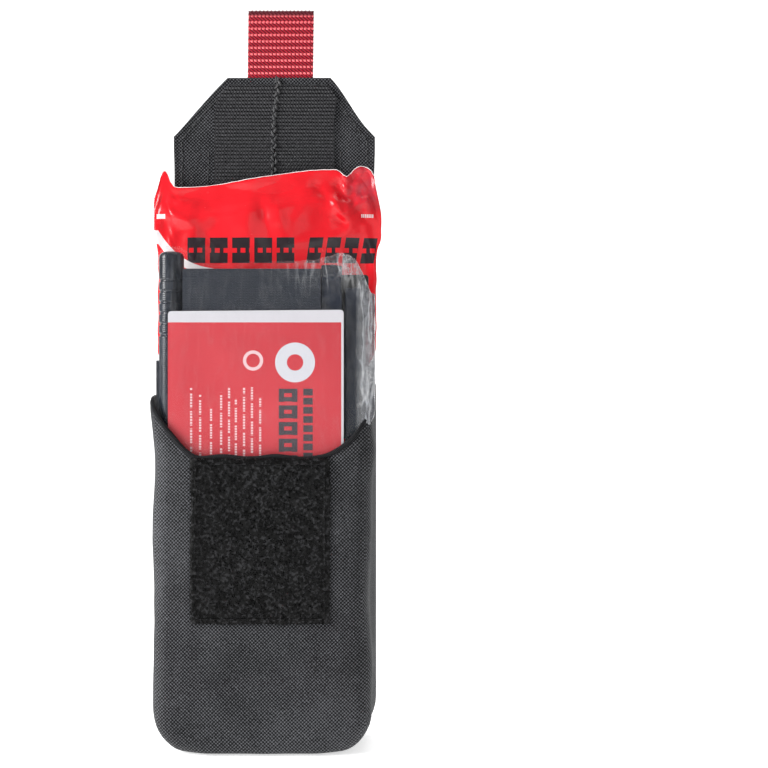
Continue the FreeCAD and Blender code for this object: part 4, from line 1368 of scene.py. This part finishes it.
# %% Finishes for the tourniquet's own parts
def webbing(name, slot, dark, light, rib, pick_step, depth, rough=0.55):
    """Ribs across the strap (along x), broken by picks, on object places."""
    strap = Finish(name, slot)
    x, y, z = strap.parts(strap.spot())
    ribs = (z * (2 * math.pi / (rib * MM))).sine()
    picks = ((x + ribs * 0.0002) * (2 * math.pi / (pick_step * MM))).sine()
    fuzz = strap.noise(1900.0, 2.0)
    slow = strap.noise(45.0, 2.0)
    lit = ribs * 0.28 + picks * 0.16 + fuzz * 0.9 + (slow - 0.5) * 0.4
    colour = strap.tint(lit, 0.0, 0.95, shade(*dark), shade(*light))
    strap.set(Base_Color=colour, Roughness=slow * 0.15 + rough)
    return strap.set(Normal=strap.bump(ribs + picks * 0.6 + fuzz, depth * MM), Specular_IOR_Level=0.15)


def plain_part(name, slot, dark, light, size, rough, depth, metal=0.0):
    part = Finish(name, slot)
    grain = part.noise(size, 3.0)
    wear = part.noise(size / 14, 2.0)
    colour = part.tint(wear, 0.35, 0.7, shade(*dark), shade(*light))
    part.set(Base_Color=colour, Roughness=grain * 0.18 + rough)
    return part.set(Metallic=metal, Normal=part.bump(grain, depth * MM), Specular_IOR_Level=0.3)


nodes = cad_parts
band_cloth = webbing("band_webbing", "band_webbing",
                     (0.013, 0.015, 0.021), (0.026, 0.030, 0.039), 0.9, 1.1, 0.03)
band_cloth.onto(nodes["main_band"], nodes["tension_ribbon"])
slick = plain_part("slack_band", "band_webbing",
                   (0.003, 0.005, 0.012), (0.014, 0.019, 0.032), 320.0, 0.14, 0.25)
slick.onto(tail_wide, tail_edge)
rod = Finish("windlass_rod", "rod")
x, y, z = rod.parts(rod.spot())
turned = (z * 9000.0).sine()
smear = rod.noise(60.0, 3.0, rod.together(x * 3.0, y * 3.0, z * 0.6))
rod_colour = rod.tint(smear, 0.42, 0.72, shade(0.003, 0.005, 0.010), shade(0.016, 0.021, 0.032))
rod.set(Base_Color=rod_colour, Specular_IOR_Level=0.35, Roughness=smear * 0.25 + 0.10)
rod.set(Normal=rod.bump(turned, 0.01 * MM))
rod.onto(nodes["windlass_rod"])
moulded = plain_part("moulded_black", "moulded_black",
                     (0.012, 0.012, 0.013), (0.026, 0.026, 0.028), 1400.0, 0.38, 0.03)
moulded.onto(nodes["base_plate"], nodes["windlass_clip"], nodes["buckle_frame"], nodes["band_tip"])
steel = plain_part("satin_steel", "rivet_metal",
                   (0.30, 0.30, 0.31), (0.45, 0.45, 0.46), 1800.0, 0.25, 0.01, 1.0)
steel.onto(nodes["plate_rivets"], nodes["buckle_bar"])
writing = webbing("writing_strap", "time_strap", (0.52, 0.52, 0.50), (0.74, 0.74, 0.72), 0.7, 0.9, 0.04)
writing.onto(nodes["time_strap"])
gauze = webbing("gauze", "gauze", (0.62, 0.61, 0.57), (0.90, 0.89, 0.84), 0.8, 0.8, 0.12, 0.8)
gauze.onto(nodes["folded_gauze"], gauze_pad)
belt = webbing("belt_webbing", "belt_webbing", (0.007, 0.007, 0.008), (0.052, 0.053, 0.058), 2.1, 1.5, 0.22)
belt.onto(nodes["belt_strap"], nodes["belt_strap_anchor"])
snap = plain_part("snap_black", "snap_metal",
                  (0.010, 0.010, 0.011), (0.030, 0.030, 0.032), 900.0, 0.22, 0.01, 0.6)
snap.onto(nodes["snap_studs"], nodes["snap_sockets"], nodes["snap_caps"])
hidden = plain_part("stiffener_sheet", "stiffener", (0.03, 0.03, 0.03), (0.05, 0.05, 0.05), 500.0, 0.4, 0.02)
for name in ("back_stiffener", "flap_stiffener"):
    hidden.onto(nodes[name])
CLOTH_PARTS = ("back_panel", "back_lining", "front_shell", "flap_cloth", "flap_lining",
               "flap_bridge_cloth", "flap_bridge_lining")
for name in CLOTH_PARTS:
    pouch_cloth.onto(nodes[name])
print("finishes on", len(nodes), "working parts")


# %% [markdown]
# The room: a pale floor and a backdrop that both glow a little, in white air. One broad light stands at the
# left and rakes across the black cloth, so that its weave shows. A weak one in front opens the shadows, and
# a soft one hangs overhead for the rims and the tops of the packs.

# %% Floor, backdrop, light and camera
start_clean()
bpy.ops.mesh.primitive_plane_add(size=6.0, location=(0, 1.5, -0.0002))
floor = keep_new("studio_floor")
bpy.ops.mesh.primitive_plane_add(size=6.0, location=(0, 4.0, 2.0), rotation=(math.pi / 2, 0, 0))
backdrop = keep_new("studio_backdrop")
studio = Finish("studio_white", "")
studio.set(Roughness=0.9, Emission_Color=shade(1.0), Emission_Strength=0.58)
grain = studio.noise(9.0, 2.0)
studio.set(Base_Color=studio.tint(grain, 0.3, 0.7, shade(0.925), shade(0.94)))
for piece in (floor, backdrop):
    piece.data.materials.clear()
    piece.data.materials.append(studio.material)

world = bpy.data.worlds.new("studio_air")
bpy.context.scene.world = world
world.use_nodes = True
air = world.node_tree.nodes["Background"]
air.inputs[0].default_value = shade(1.0)
air.inputs[1].default_value = 0.46


def soft_light(name, place, target, size, power):
    start_clean()
    bpy.ops.object.light_add(type="AREA", location=place)
    light = bpy.context.object
    light.name = name
    light.rotation_euler = (Vector(target) - Vector(place)).to_track_quat("-Z", "Y").to_euler()
    light.data.shape = "RECTANGLE"
    light.data.size, light.data.size_y = size
    light.data.energy = power
    return light


soft_light("key_light", (-0.98, -0.42, 0.5), (0, 0, 0.12), (0.5, 0.5), 17.5)
soft_light("fill_light", (0.25, -1.0, 0.35), (0, 0, 0.12), (0.5, 0.5), 0.8)
soft_light("top_light", (0.0, 0.15, 0.95), (0, 0, 0.12), (0.7, 0.4), 2.5)

start_clean()
bpy.ops.object.camera_add(location=(0.045, -0.48, 0.136), rotation=(math.pi / 2, 0, 0))
camera = bpy.context.object
camera.name = "front_camera"
camera.data.sensor_width = 36.0
camera.data.lens = 59.6
camera.data.clip_start = 0.01
camera.data.clip_end = 50.0
bpy.context.scene.camera = camera
bpy.context.scene.view_settings.view_transform = "Standard"
print("camera at", tuple(round(v, 3) for v in camera.location))
